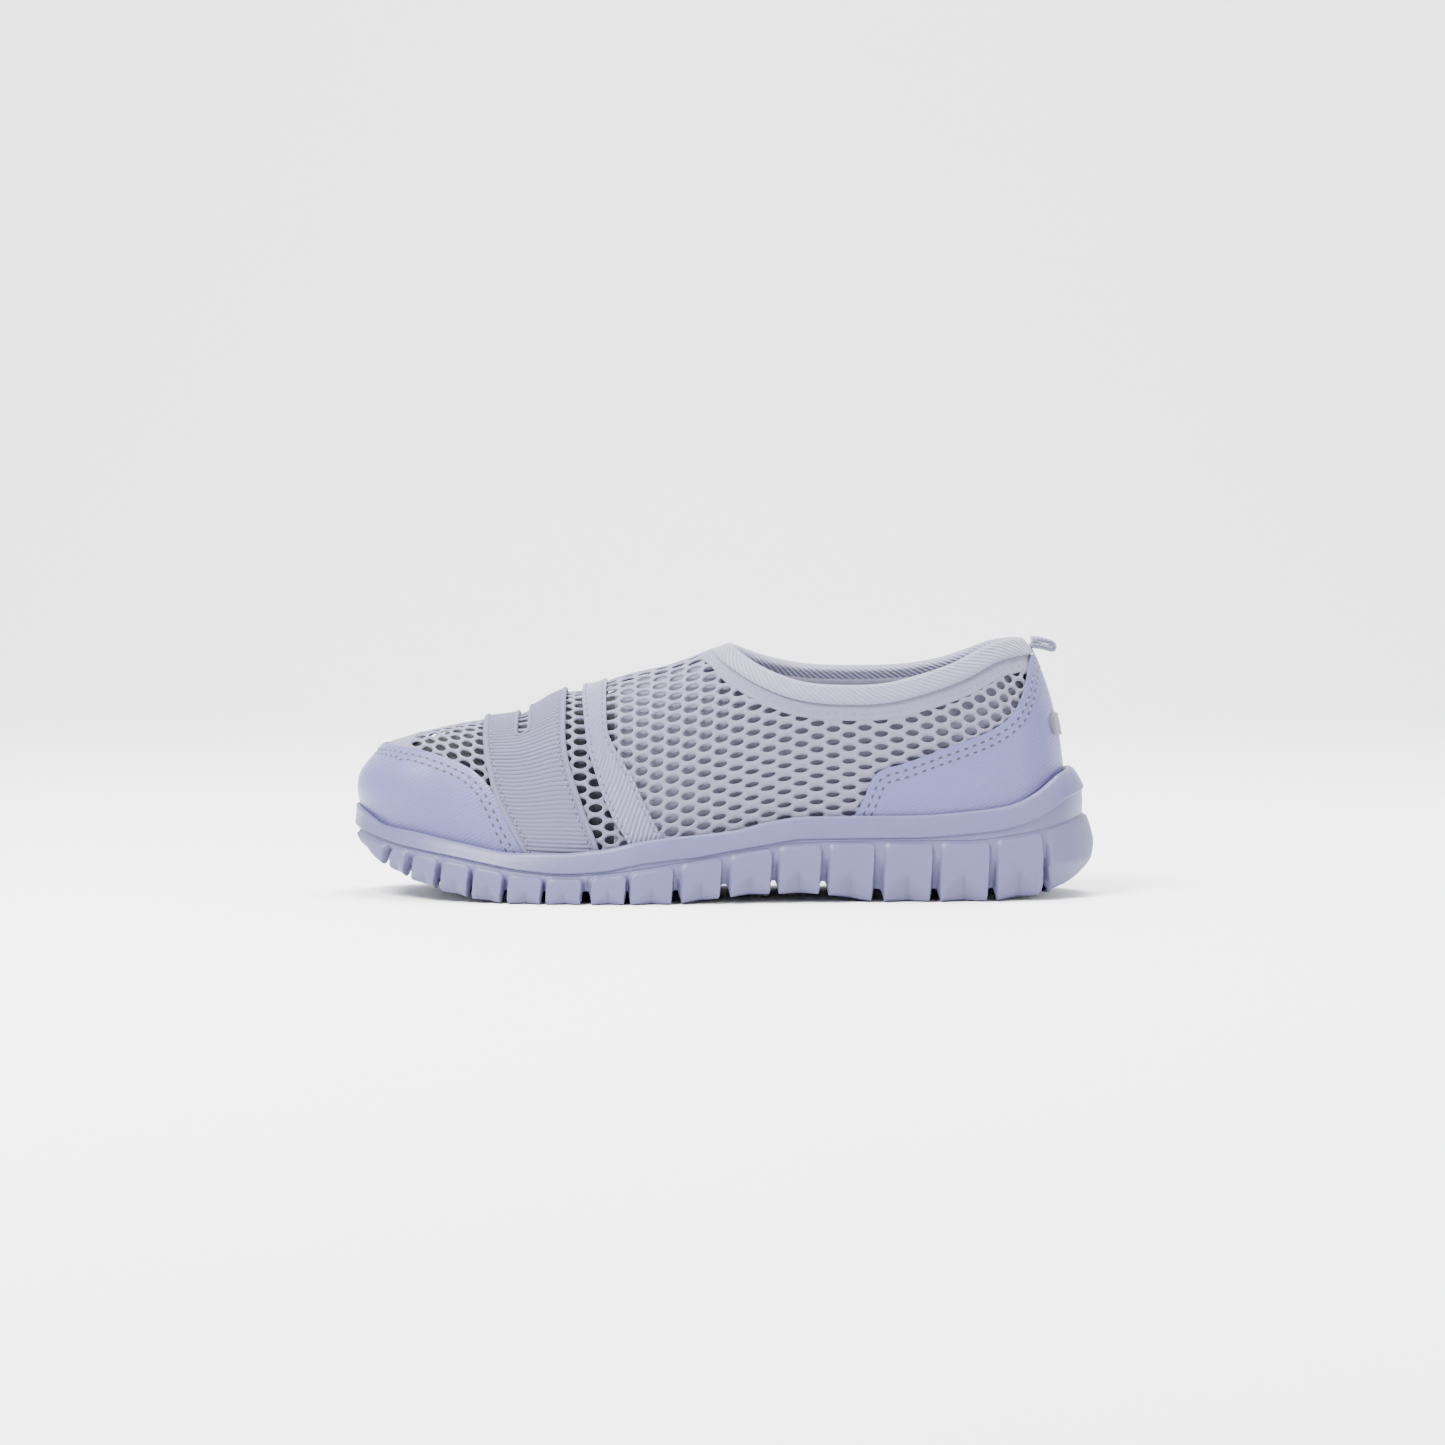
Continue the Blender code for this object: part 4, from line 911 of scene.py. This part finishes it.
def over_foot(front_x, rear_x, offset, spacing):
    """Evenly spaced lines across a band over the foot: w, and the angles of its two edges."""
    w = np.linspace(0.0, 2.0, 260)
    front, rear = angle_at_edge(w, front_x, offset), angle_at_edge(w, rear_x, offset)
    run = lengths(over((front + rear) / 2, w, offset))
    even = np.linspace(0, run[-1], int(run[-1] / spacing))
    return np.interp(even, run, w), np.interp(even, run, front), np.interp(even, run, rear), even


def vamp_strap(finish):
    """Grosgrain webbing: ribs across the strap, and a slot across its top."""
    inset = 1.4 * MM
    samples = 7
    w, front, rear, run = over_foot(
        lambda z: STRAP_FRONT_X(z) + inset, lambda z: STRAP_REAR_X(z) - inset, STRAP_FACE, RIB_PITCH / samples
    )
    ridge = np.interp(1.0, w, run)
    phase = (run - ridge) / RIB_PITCH
    rib = np.abs(np.cos(math.pi * phase)) ** 0.6
    slot_x, radius = -70.0 * MM, 1.9 * MM
    heights = over((front + rear) / 2, w, STRAP_FACE)[:, 2]
    low_end = np.interp(58.2 * MM, heights[run < ridge], run[run < ridge])
    reach = (ridge + 12 * MM - low_end) / 2
    ridge = low_end + reach
    beyond = np.maximum(np.abs(run - ridge) - reach, 0)
    half = np.sqrt(np.maximum(radius**2 - beyond**2, (0.02 * MM) ** 2))
    centre_angle = (front + rear) / 2
    for _ in range(4):
        p = over(centre_angle, w, STRAP_FACE)
        step = (over(centre_angle + 1e-3, w, STRAP_FACE) - p)[:, 0] / 1e-3
        centre_angle = centre_angle + (slot_x - p[:, 0]) / step
    slot = np.clip(half / step, 0, None)
    wide = 1 - smoothstep(0, 4 * MM, beyond)
    middle = centre_angle * wide + (front + rear) / 2 * (1 - wide)
    ahead = [front + (middle - slot - front) * s for s in (0, 0.15, 0.35, 0.55, 0.75, 0.9, 1)]
    behind = [middle + slot + (rear - middle - slot) * s for s in (0, 0.1, 0.25, 0.45, 0.65, 0.85, 1)]
    flat = 0.85 * MM
    angle = np.array(ahead + behind)
    ww = np.broadcast_to(w, angle.shape)
    columns, rows = angle.shape
    top = over(angle, ww, STRAP_FACE + 0.02 * MM + 0.52 * MM * rib[None, :])
    bottom = over(angle, ww, STRAP_FACE - flat / 2)
    sizes = flat_sizes(top)
    count = columns * rows
    quads = grid(columns, rows).reshape(columns - 1, rows - 1, 4)
    open_rows = beyond[:-1] < radius
    seam = len(ahead) - 1
    keep = np.ones((columns - 1, rows - 1), bool)
    keep[seam, open_rows] = False
    kept = quads[keep]
    faces = [*kept.tolist(), *(kept[:, ::-1] + count).tolist()]
    sides = {}
    for q in kept:
        for a, b in zip(q, np.roll(q, -1)):
            key = (min(a, b), max(a, b))
            sides[key] = None if key in sides else (a, b)
    faces += [(b, a, a + count, b + count) for a, b in filter(None, sides.values())]
    vertices = np.concatenate([top.reshape(-1, 3), bottom.reshape(-1, 3)])
    uv = np.concatenate([sizes.reshape(-1, 2)] * 2)
    strap = piece("vamp_strap", vertices, faces, finish, uv, weld=0.004 * MM, sharp=60)
    turn = np.linspace(-math.pi / 2, math.pi / 2, 14)
    border = radius + 0.55 * MM
    line = [(slot_x - border, g) for g in np.linspace(-reach, reach, 60)]
    line += [(slot_x + border * math.sin(a), reach + border * math.cos(a)) for a in turn]
    line += [(slot_x + border, g) for g in np.linspace(reach, -reach, 60)]
    line += [(slot_x + border * math.sin(-a), -reach - border * math.cos(a)) for a in turn]
    x_line, g_line = np.array(line).T
    w_line = np.interp(ridge + g_line, run, w)
    toe, heel = np.zeros_like(w_line), np.full_like(w_line, math.pi)
    a_line = solve(toe, heel, lambda a: over(a, w_line, STRAP_FACE)[..., 0] - x_line)
    return strap, (a_line, w_line, STRAP_FACE + 0.45 * MM)


def tube_over(name, angle, w, offset, radii, finish, slot, sides=12):
    """A soft rounded edging along a line: an oval tube radii wide and high."""
    angle, w = respaced(angle, w, offset, 0.9 * MM)
    points, normal = over(angle, w, offset), sloped(angle, w, offset)[2]
    way = np.gradient(points, axis=0)
    way /= np.linalg.norm(way, axis=1, keepdims=True)
    side = np.cross(normal, way)
    turn = np.linspace(0, 2 * math.pi, sides, endpoint=False)
    ring = points[:, None] + side[:, None] * (np.cos(turn) * radii[0])[None, :, None]
    ring = ring + normal[:, None] * (np.sin(turn) * radii[1])[None, :, None]
    ring = ring.transpose(1, 0, 2)
    columns, rows = ring.shape[:2]
    faces = grid(columns, rows, closed=True).tolist()
    starts = [c * rows for c in range(columns)]
    faces += [tuple(starts)[::-1], tuple(c + rows - 1 for c in starts)]
    sizes = np.stack(np.meshgrid(turn * radii[0], lengths(points), indexing="ij"), -1)
    return piece(name, ring.reshape(-1, 3), faces, finish, sizes.reshape(-1, 2))


def filled_below(side, angle, w, foot, rows):
    """A grid from the sole's edge, at the angles foot, up to a line."""
    share = np.linspace(0, 1, rows)[None, :]
    low = on_side(side, 0.0)
    return foot[:, None] + (angle - foot)[:, None] * share, low + (w[:, None] - low) * share


def toe_cap(finish):
    """The cap, from the sole to its curved rear edge, and that edge as a line on each side."""
    grids = []
    edges = []
    for side in SIDES:
        top_angles = np.linspace(0, math.pi / 2, 900)
        v = v_at_edge(side, top_angles, TOE_CAP_Z, CAP_FACE)
        x = layer(side, top_angles, v, CAP_FACE)[:, 0]
        stop = int(np.argmax(x > TOE_CAP_CORNER))
        top_a, top_v = top_angles[:stop], v[:stop]
        rear_v = np.linspace(top_v[-1], 0.0, 60)[1:]
        rear_a = angle_at_edge(on_side(side, rear_v), TOE_CAP_REAR_X, CAP_FACE)
        angle, w = np.concatenate([top_a, rear_a]), on_side(side, np.concatenate([top_v, rear_v]))
        angle, w = respaced(angle, w, CAP_FACE, 1.0 * MM)
        grids.append(filled_below(side, angle, w, np.linspace(0, angle[-1], len(angle)), 34))
        edges.append((angle, w))
    angle = np.concatenate([grids[0][0][::-1], grids[1][0][1:]])
    w = np.concatenate([grids[0][1][::-1], grids[1][1][1:]])
    faces_at = (CAP_FACE - 0.8 * MM, CAP_FACE + 0.25 * MM)
    return panel("toe_cap", angle, w, faces_at, finish), edges


def heel_cover(finish):
    """The cover, round the heel, and its upper edge as a line on each side."""
    face = OVER_QUARTER_FACE
    grids = []
    edges = []
    for side in SIDES:
        angles = np.linspace(1.5, math.pi, 900)
        v = v_at_edge(side, angles, HEEL_COVER_Z, face)
        limit = v_at_edge(side, angles, lambda x: COLLAR_Z[side](x) - 5.4 * MM)
        v = np.minimum(v, limit)
        x = layer(side, angles, v, face)[:, 0]
        start = int(np.argmax(x > HEEL_COVER_CORNER))
        top_a, top_v = angles[start:], v[start:]
        front_v = np.linspace(0.0, top_v[0], 30)[:-1]
        front_a = angle_at_edge(on_side(side, front_v), HEEL_COVER_FRONT_X, face)
        angle, w = np.concatenate([front_a, top_a]), on_side(side, np.concatenate([front_v, top_v]))
        angle, w = respaced(angle, w, face, 1.0 * MM)
        grids.append(filled_below(side, angle, w, np.linspace(angle[0], math.pi, len(angle)), 40))
        edges.append((angle, w))
    angle = np.concatenate([grids[0][0], grids[1][0][-2::-1]])
    w = np.concatenate([grids[0][1], grids[1][1][-2::-1]])
    faces_at = (face - 0.45 * MM, face + 0.5 * MM)
    return panel("heel_cover", angle, w, faces_at, finish), edges


def quarter_binding(finish):
    """The twill tape on the quarter's front edge, and its two edge lines."""
    face = OVER_QUARTER_FACE
    w, front, rear, _ = over_foot(QUARTER_FRONT_X, TAPE_REAR_X, face, 1.2 * MM)
    share = np.linspace(0, 1, 15)[:, None]
    angle = front + (rear - front) * share
    ww = np.broadcast_to(w, angle.shape)
    tape = panel("quarter_binding", angle, ww, (face - 0.4 * MM, face + 0.4 * MM), finish)
    return tape, (front, w), (rear, w)


def collar_frame(spacing):
    """The collar's edge as a closed run of points, with the directions out of the wall and down it."""
    edges, outwards = [], []
    for side in SIDES:
        fine = OPENING_ANGLE + 1e-4 + (math.pi - OPENING_ANGLE - 1e-4) * np.linspace(0, 1, 900) ** 2
        v = v_at_edge(side, fine, COLLAR_Z[side])
        run = lengths(dome(side, fine, v))
        even = np.linspace(0, run[-1], int(run[-1] / spacing))
        angle, v = np.interp(even, run, fine), np.interp(even, run, v)
        edge = layer(side, angle, v, 0.0)
        out = (layer(side, angle, v, MM) - edge) / MM
        keep = slice(None) if side == "lateral" else slice(-2, 0, -1)
        edges.append(edge[keep])
        outwards.append(out[keep])
    edge, out = np.concatenate(edges), np.concatenate(outwards)
    for _ in range(28):
        out = (np.roll(out, 1, 0) + 2 * out + np.roll(out, -1, 0)) / 4
        edge = (np.roll(edge, 1, 0) + 6 * edge + np.roll(edge, -1, 0)) / 8
    out /= np.linalg.norm(out, axis=1, keepdims=True)
    way = np.roll(edge, -1, 0) - np.roll(edge, 1, 0)
    down = np.cross(way, out)
    return edge, out, down / np.linalg.norm(down, axis=1, keepdims=True)


def collar_binding(finish):
    """Twill tape folded over the padded collar edge."""
    edge, out, down = collar_frame(1.1 * MM)
    high, low, width = 3.3 * MM, -2.3 * MM, BINDING_WIDTH
    middle, half = (high + low) / 2, (high - low) / 2
    turn = np.linspace(0, math.pi, 13)
    profile = [(high - 0.75 * MM, width - 0.1 * MM), (high - 0.25 * MM, width), (high, width - 0.4 * MM)]
    profile += [(high + 0.12 * MM, width * 0.7), (high + 0.1 * MM, width * 0.45), (high, width * 0.25)]
    profile += [(middle + half * math.cos(a), 0.9 * MM - 1.9 * MM * math.sin(a)) for a in turn]
    profile += [(low - 0.1 * MM, width * 0.45), (low, width * 0.8), (low + 0.3 * MM, width)]
    profile += [(low + 0.75 * MM, width), (low + 0.8 * MM, 1.0 * MM), (high - 0.8 * MM, 1.0 * MM)]
    n, d = np.array(profile).T
    ring = edge[:, None] + out[:, None] * n[None, :, None] + down[:, None] * d[None, :, None]
    columns, rows = ring.shape[:2]
    faces = grid(columns, rows, closed=True).tolist()
    for c in range(columns):
        a, b = c * rows, (c + 1) % columns * rows
        faces.append((a + rows - 1, b + rows - 1, b, a))
    uv = flat_sizes(ring).reshape(-1, 2)
    return piece("collar_binding", ring.reshape(-1, 3), faces, finish, uv)


def collar_facing(finish):
    """The plain strip of the quarter just below the collar tape, and the line of its stitches."""
    grids = []
    drops = np.linspace(5.2, 11.2, 7) * MM  # below the collar's edge
    stitched, face = 4, QUARTER_FACE + 0.58 * MM  # which of the drops the stitches follow
    at_heel = 6  # its last columns, which go straight round the heel
    for side, way in zip(SIDES, (-1, 1)):
        fine = OPENING_ANGLE + 1e-3 + (math.pi - OPENING_ANGLE - 1e-3) * np.linspace(0, 1, 700) ** 1.6
        v = v_at_edge(side, fine, COLLAR_Z[side])
        angle, w = respaced(fine, on_side(side, v), QUARTER_FACE, 1.3 * MM)
        lines = [beside(angle, w, QUARTER_FACE, way * drop) for drop in drops]
        angle, w = (np.stack(values, 1) for values in zip(*lines))
        angle[-at_heel:] = angle[-at_heel] + (math.pi - angle[-at_heel]) * np.linspace(0, 1, at_heel)[:, None]
        w[-at_heel:] = w[-at_heel]
        grids.append((angle, w))
    angle = np.concatenate([grids[0][0], grids[1][0][-2::-1]])
    w = np.concatenate([grids[0][1], grids[1][1][-2::-1]])
    strip = panel("collar_facing", angle, w, (QUARTER_FACE - 0.1 * MM, face), finish)
    return strip, [(aa[:, stitched], ww[:, stitched], face) for aa, ww in grids]


def quarter_lining(finish):
    """The soft cloth inside the shoe, padded towards the collar."""
    front = np.linspace(math.acos(38 / 131), OPENING_ANGLE, 40)[:-1]
    angle = np.concatenate([front, np.linspace(OPENING_ANGLE, math.pi, 150)])
    share = np.linspace(0, 1, 40)[None, :]
    puff = 1.6 * MM * smoothstep(0.55, 0.85, share) * (1 - smoothstep(0.93, 1.0, share))
    skins = []
    for side in SIDES:
        edge = v_at_edge(side, angle, lambda x: COLLAR_Z[side](x) - 1.5 * MM)
        v = share * np.where(angle < OPENING_ANGLE, 1.0, edge)[:, None]
        aa, ww = np.broadcast_to(angle[:, None], v.shape), on_side(side, v)
        skins += [over(aa, ww, LINING_FACE + 0.4 * MM), over(aa, ww, LINING_FACE - 0.4 * MM - puff)]
    columns, rows = skins[0].shape[:2]
    count = columns * rows
    quads = grid(columns, rows)
    vertices = np.concatenate([skin.reshape(-1, 3) for skin in skins])
    uv = np.concatenate([flat_sizes(skin).reshape(-1, 2) for skin in skins])
    feet = [c * rows for c in range(columns)]
    rims = feet, [c + rows - 1 for c in feet], list(range(rows))
    faces = []
    for outer in (0, 2 * count):
        inner = outer + count
        faces += [*(quads + outer).tolist(), *(quads[:, ::-1] + inner).tolist()]
        for rim in rims:
            faces += [(a + outer, b + outer, b + inner, a + inner) for a, b in zip(rim, rim[1:])]
    return piece("quarter_lining", vertices, faces, finish, uv, weld=0.02 * MM)


def vamp_shade_sheet(finish):
    """A near-black sheet under the open forefoot: painted shade for the inside of the shoe, seen through the
    mesh's holes.
    """
    angle = np.linspace(0.06, math.acos(34 / 131), 70)[:, None]
    w = np.linspace(0, 2, 90)[None, :]
    angle, w = np.broadcast_arrays(angle, w)
    return panel("vamp_shade_sheet", angle, w, (-2.3 * MM, -1.7 * MM), finish, bevel=0.0)


def vamp_tip(finish):
    """The mesh's closed end, under the toe cap and just behind its top."""
    angle, w = np.meshgrid(np.linspace(0, 0.43, 30), np.linspace(0.3, 1.7, 60), indexing="ij")
    return panel("vamp_tip", angle, w, (VAMP_FACE - 0.3 * MM, VAMP_FACE + 0.72 * MM), finish)


def heel_badge(finish):
    """A small blank badge with a raised rim on the back of the heel."""
    face = OVER_QUARTER_FACE + 0.5 * MM
    turn = np.linspace(0, 2 * math.pi, 48, endpoint=False)
    around = np.stack([np.cos(turn), np.sin(turn)], -1)
    shape = np.sign(around) * np.abs(around) ** 0.5
    rings = [(1.0, -0.1), (1.0, 0.7), (0.95, 1.1), (0.84, 1.15), (0.78, 0.95), (0.4, 1.0), (0.02, 1.02)]
    middle_v, half_v, half_angle = 0.265, 0.034, 0.27
    vertices = []
    for size, height in rings:
        q = shape * size
        angle = math.pi - np.abs(q[:, 0]) * half_angle
        v = middle_v + q[:, 1] * half_v
        w = np.where(q[:, 0] < 0, v, 2 - v)
        vertices.append(over(angle, w, face + height * MM))
    count = len(turn)
    points = np.stack(vertices)
    faces = grid(len(rings), count).tolist()
    starts = [k * count for k in range(len(rings))]
    faces += [(a + count - 1, b + count - 1, b, a) for a, b in zip(starts, starts[1:])]
    faces += [tuple(range(count)), tuple(range(starts[-1], starts[-1] + count))]
    uv = points[..., 1:].reshape(-1, 2)
    return piece("heel_badge", points.reshape(-1, 3), faces, finish, uv)


def pull_tab(finish):
    """Twill tape folded into a soft drooping loop, its two ends sewn together at the collar."""
    low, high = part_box("pull_tab")
    root, length, tape = low.x - 0.2 * MM, high.x - low.x - 0.4 * MM, 1.95 * MM
    turn = np.linspace(-math.pi / 2, math.pi / 2, 13)
    radius = 1.15 * MM
    run = np.linspace(0, 1, 12)[:-1]
    open_by = tape / 2 + 0.1 * MM + (radius - tape / 2 - 0.1 * MM) * smoothstep(0.0, 0.75, run)
    reach = length - radius - tape / 2
    lower = np.stack([run * reach, -open_by], -1)
    bow = np.stack([reach + radius * np.cos(turn), radius * np.sin(turn)], -1)
    centre = np.concatenate([lower, bow, np.stack([run * reach, open_by], -1)[::-1]])
    centre[:, 1] -= 2.0 * MM * (centre[:, 0] / length) ** 2
    way = np.gradient(centre, axis=0)
    way /= np.linalg.norm(way, axis=1, keepdims=True)
    normal = np.stack([way[:, 1], -way[:, 0]], -1)
    outer, inner = centre + normal * tape / 2, centre - normal * tape / 2
    loop = np.concatenate([outer, inner[::-1]])
    width = np.concatenate([[-1, -0.985], np.linspace(-0.95, 0.95, 15), [0.985, 1]])
    half_width = (high.y - low.y) / 2
    middle = np.concatenate([centre, centre[::-1]])
    points = []
    for u in width:
        thin = 1 - 0.6 * smoothstep(0.94, 1.0, abs(u))
        q = middle + (loop - middle) * thin
        y = np.full(len(loop), (low.y + high.y) / 2 + u * half_width)
        points.append(np.stack([root + q[:, 0], y, (low.z + high.z) / 2 + q[:, 1]], -1))
    points = np.array(points)
    columns, rows = points.shape[:2]
    faces = grid(columns, rows).tolist()
    starts = [c * rows for c in range(columns)]
    faces += [(a + rows - 1, b + rows - 1, b, a) for a, b in zip(starts, starts[1:])]
    half = len(centre)
    for start, way_round in ((0, 1), ((columns - 1) * rows, -1)):
        for k in range(half - 1):
            quad = (start + k, start + k + 1, start + rows - 2 - k, start + rows - 1 - k)
            faces.append(quad[::way_round])
    uv = flat_sizes(points).reshape(-1, 2)
    return piece("pull_tab", points.reshape(-1, 3), faces, finish, uv, weld=WELD)


# --- Assembly -------------------------------------------------------------------------------------

mesh_finish = knit("mesh_cloth", (0.15, 0.147, 0.215))
lining_finish = knit("lining_cloth", (0.15, 0.148, 0.21))
# Near-black cloth for the sheet under the forefoot mesh: painted shade inside the shoe.
shade_sheet_finish = knit("shade_sheet_cloth", (0.018, 0.018, 0.028))
leather_finish = leather()
webbing_finish = webbing_cloth()
tape_finish = twill("twill_tape", (0.112, 0.110, 0.198), 1.15, math.radians(32))
binding_finish = twill("binding_tape", (0.155, 0.155, 0.235), 1.3, math.radians(-55))
tread_finish = foam("tread_foam", (0.088, 0.089, 0.168), 0.45, 0.025)
band_finish = foam("band_foam", (0.083, 0.084, 0.166), 0.38, 0.02)
thread_finish = thread("sewing_thread", (0.125, 0.124, 0.21))
# Near-black colour of the needle holes: painted shade inside them.
hole_shade_finish = thread("needle_hole_shade", (0.03, 0.03, 0.045))
board_finish = knit("board", (0.10, 0.10, 0.13))
badge_finish = foam("badge_rubber", (0.09, 0.09, 0.12), 0.45, 0.02)

girth = Girth()
bends(outsole(tread_finish), "outsole_forefoot", "outsole_rearfoot")
bends(midsole(band_finish), "midsole_forefoot", "midsole_rearfoot")
bends(
    footbed_sheet("strobel_board", 0.6 * MM, 1.2 * MM, 1.6 * MM, 0.0, board_finish, 0.0),
    "strobel_board_forefoot", "strobel_board_rearfoot",
)
insole = footbed_sheet(
    "insole", 2.1 * MM, 3.3 * MM, 2.6 * MM, 1.2 * MM, lining_finish, 0.5 * MM
)
bends(insole, "insole_forefoot", "insole_rearfoot")
bends(vamp_mesh(girth, mesh_finish), "vamp_mesh")
bends(quarter_mesh(girth, mesh_finish), "quarter_mesh")
# The near-black sheet under the forefoot mesh: painted shade seen through the holes.
bends(vamp_shade_sheet(shade_sheet_finish))
bends(vamp_tip(mesh_finish))
lining = quarter_lining(lining_finish)
bends(lining, "quarter_lining")

cap, cap_edges = toe_cap(leather_finish)
bends(cap, "toe_cap")
cap_rows = []
for (angle, w), way in zip(cap_edges, (-1, 1)):
    for distance in (2.6 * MM, 4.8 * MM):
        cap_rows.append((*beside(angle, w, CAP_FACE, way * distance), CAP_FACE + 0.25 * MM))
bends(stitches("toe_cap_stitches", cap_rows, thread_finish))
bends(needle_holes("toe_cap_needle_holes", cap_rows, hole_shade_finish))

strap, slot_line = vamp_strap(webbing_finish)
bends(strap, "vamp_strap")
strap_w = np.linspace(0, 2, 200)
strap_edges = {
    "front": (angle_at_edge(strap_w, lambda z: STRAP_FRONT_X(z) + 0.9 * MM, STRAP_FACE), strap_w),
    "rear": (angle_at_edge(strap_w, lambda z: STRAP_REAR_X(z) - 0.9 * MM, STRAP_FACE), strap_w),
}
slot_border = tube_over("slot_border", *slot_line, (0.6 * MM, 0.45 * MM), webbing_finish, "webbing", sides=10)
bends(slot_border)
strap_rows = []
for name, way in (("front", -1), ("rear", 1)):
    angle, w = strap_edges[name]
    edging_name, height, radii = f"strap_{name}_edging", STRAP_FACE + 0.35 * MM, (0.95 * MM, 0.72 * MM)
    edging = tube_over(edging_name, angle, w, height, radii, webbing_finish, "webbing")
    bends(edging, edging_name)
    strap_rows.append((*beside(angle, w, STRAP_FACE, way * 1.9 * MM), STRAP_FACE + 0.5 * MM))
bends(stitches("strap_stitches", strap_rows, thread_finish, pitch=STRAP_PITCH, length=2.0 * MM))
strap_holes = needle_holes(
    "strap_needle_holes", strap_rows, hole_shade_finish, pitch=STRAP_PITCH, radius=0.26 * MM
)
bends(strap_holes)

tape, tape_front, tape_rear = quarter_binding(tape_finish)
bends(tape, "quarter_binding")
tape_rows = [
    (*beside(*tape_front, OVER_QUARTER_FACE, -1.3 * MM), OVER_QUARTER_FACE + 0.4 * MM),
    (*beside(*tape_rear, OVER_QUARTER_FACE, 1.3 * MM), OVER_QUARTER_FACE + 0.4 * MM),
]
bends(stitches("quarter_binding_stitches", tape_rows, thread_finish))
bends(needle_holes("quarter_binding_needle_holes", tape_rows, hole_shade_finish, radius=0.3 * MM))

cover, cover_edges = heel_cover(leather_finish)
bends(cover, "heel_cover")
cover_rows = []
cover_top = OVER_QUARTER_FACE + 0.5 * MM
for (angle, w), way in zip(cover_edges, (-1, 1)):
    for distance in (2.4 * MM, 4.7 * MM):
        cover_rows.append((*beside(angle, w, OVER_QUARTER_FACE, way * distance), cover_top))
bends(stitches("heel_cover_stitches", cover_rows, thread_finish))
bends(needle_holes("heel_cover_needle_holes", cover_rows, hole_shade_finish))

facing, facing_rows = collar_facing(mesh_finish)
bends(facing)
collar_thread = stitches(
    "collar_stitches", facing_rows, thread_finish, length=2.0 * MM, radius=0.24 * MM
)
bends(collar_thread)
bends(collar_binding(binding_finish), "collar_binding")
bends(heel_badge(badge_finish), "heel_badge")
tab = pull_tab(binding_finish)
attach(tab, "tab")
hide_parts("pull_tab")

for side in SIDES:
    puff_angle, puff_v = np.meshgrid(np.linspace(0.0, 0.7, 40), np.linspace(0, 0.45, 16), indexing="ij")
    puff_w, puff_at = on_side(side, puff_v), (-1.2 * MM, -0.4 * MM)
    puff = panel(f"toe_puff_{side}", puff_angle, puff_w, puff_at, board_finish, 0.0)
    bends(puff, "toe_puff")
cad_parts["heel_stiffener"].data.materials.clear()
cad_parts["heel_stiffener"].data.materials.append(board_finish)


# --- Studio ---------------------------------------------------------------------------------------

def studio():
    """A pale sweep, a pale sky and three soft lights."""
    turn = np.linspace(0, math.pi / 2, 16)
    near, bend, radius, top = -4.0, 1.2, 0.6, 2.2
    profile = [(near, 0.0), (bend, 0.0)]
    profile += [(bend + radius * math.sin(a), radius - radius * math.cos(a)) for a in turn]
    profile.append((bend + radius, top))
    vertices = [(x, y, z - FLOOR_DROP) for x in (-3.0, 3.0) for y, z in profile]
    n = len(profile)
    mesh = bpy.data.meshes.new("sweep")
    mesh.from_pydata(vertices, [], [(i, n + i, n + i + 1, i + 1) for i in range(n - 1)])
    mesh.shade_smooth()
    finish = Finish("studio_paper", (0.90, 0.90, 0.90), 0.9)
    finish.tint(finish.grain(0.004), 0.995, 1.005)
    mesh.materials.append(finish.material)
    sweep = bpy.data.objects.new("sweep", mesh)
    bpy.context.scene.collection.objects.link(sweep)

    world = bpy.data.worlds.new("studio")
    world.use_nodes = True
    world.node_tree.nodes["Background"].inputs["Color"].default_value = (0.965, 0.95, 1.0, 1)
    world.node_tree.nodes["Background"].inputs["Strength"].default_value = 1.5
    bpy.context.scene.world = world

    lights = (
        ("key", (-0.7, -0.7, 1.3), 0.8, 85),
        ("top", (0.2, 0.4, 1.5), 1.0, 60),
        ("fill", (1.2, -0.9, 0.5), 0.9, 10),
    )
    for name, place, size, power in lights:
        light = bpy.data.lights.new(name, "AREA")
        light.shape = "DISK"
        light.size = size
        light.energy = power
        obj = bpy.data.objects.new(name, light)
        obj.location = place
        obj.rotation_euler = (Vector((0, 0, 0.05)) - Vector(place)).to_track_quat("-Z", "Y").to_euler()
        bpy.context.scene.collection.objects.link(obj)


def camera():
    """A long lens nearly level with the shoe, as far away as a studio allows."""
    frame_width, distance, elevation = 0.5095, 1.6, math.radians(3)
    target = Vector((-0.0002, 0, 0.0603))
    data = bpy.data.cameras.new("camera")
    data.sensor_width = 36
    data.lens = 36 * distance / frame_width
    data.clip_start = 0.01
    obj = bpy.data.objects.new("camera", data)
    obj.location = target + Vector((0, -distance * math.cos(elevation), distance * math.sin(elevation)))
    obj.rotation_euler = (target - obj.location).to_track_quat("-Z", "Y").to_euler()
    bpy.context.scene.collection.objects.link(obj)
    bpy.context.scene.camera = obj


studio()
camera()
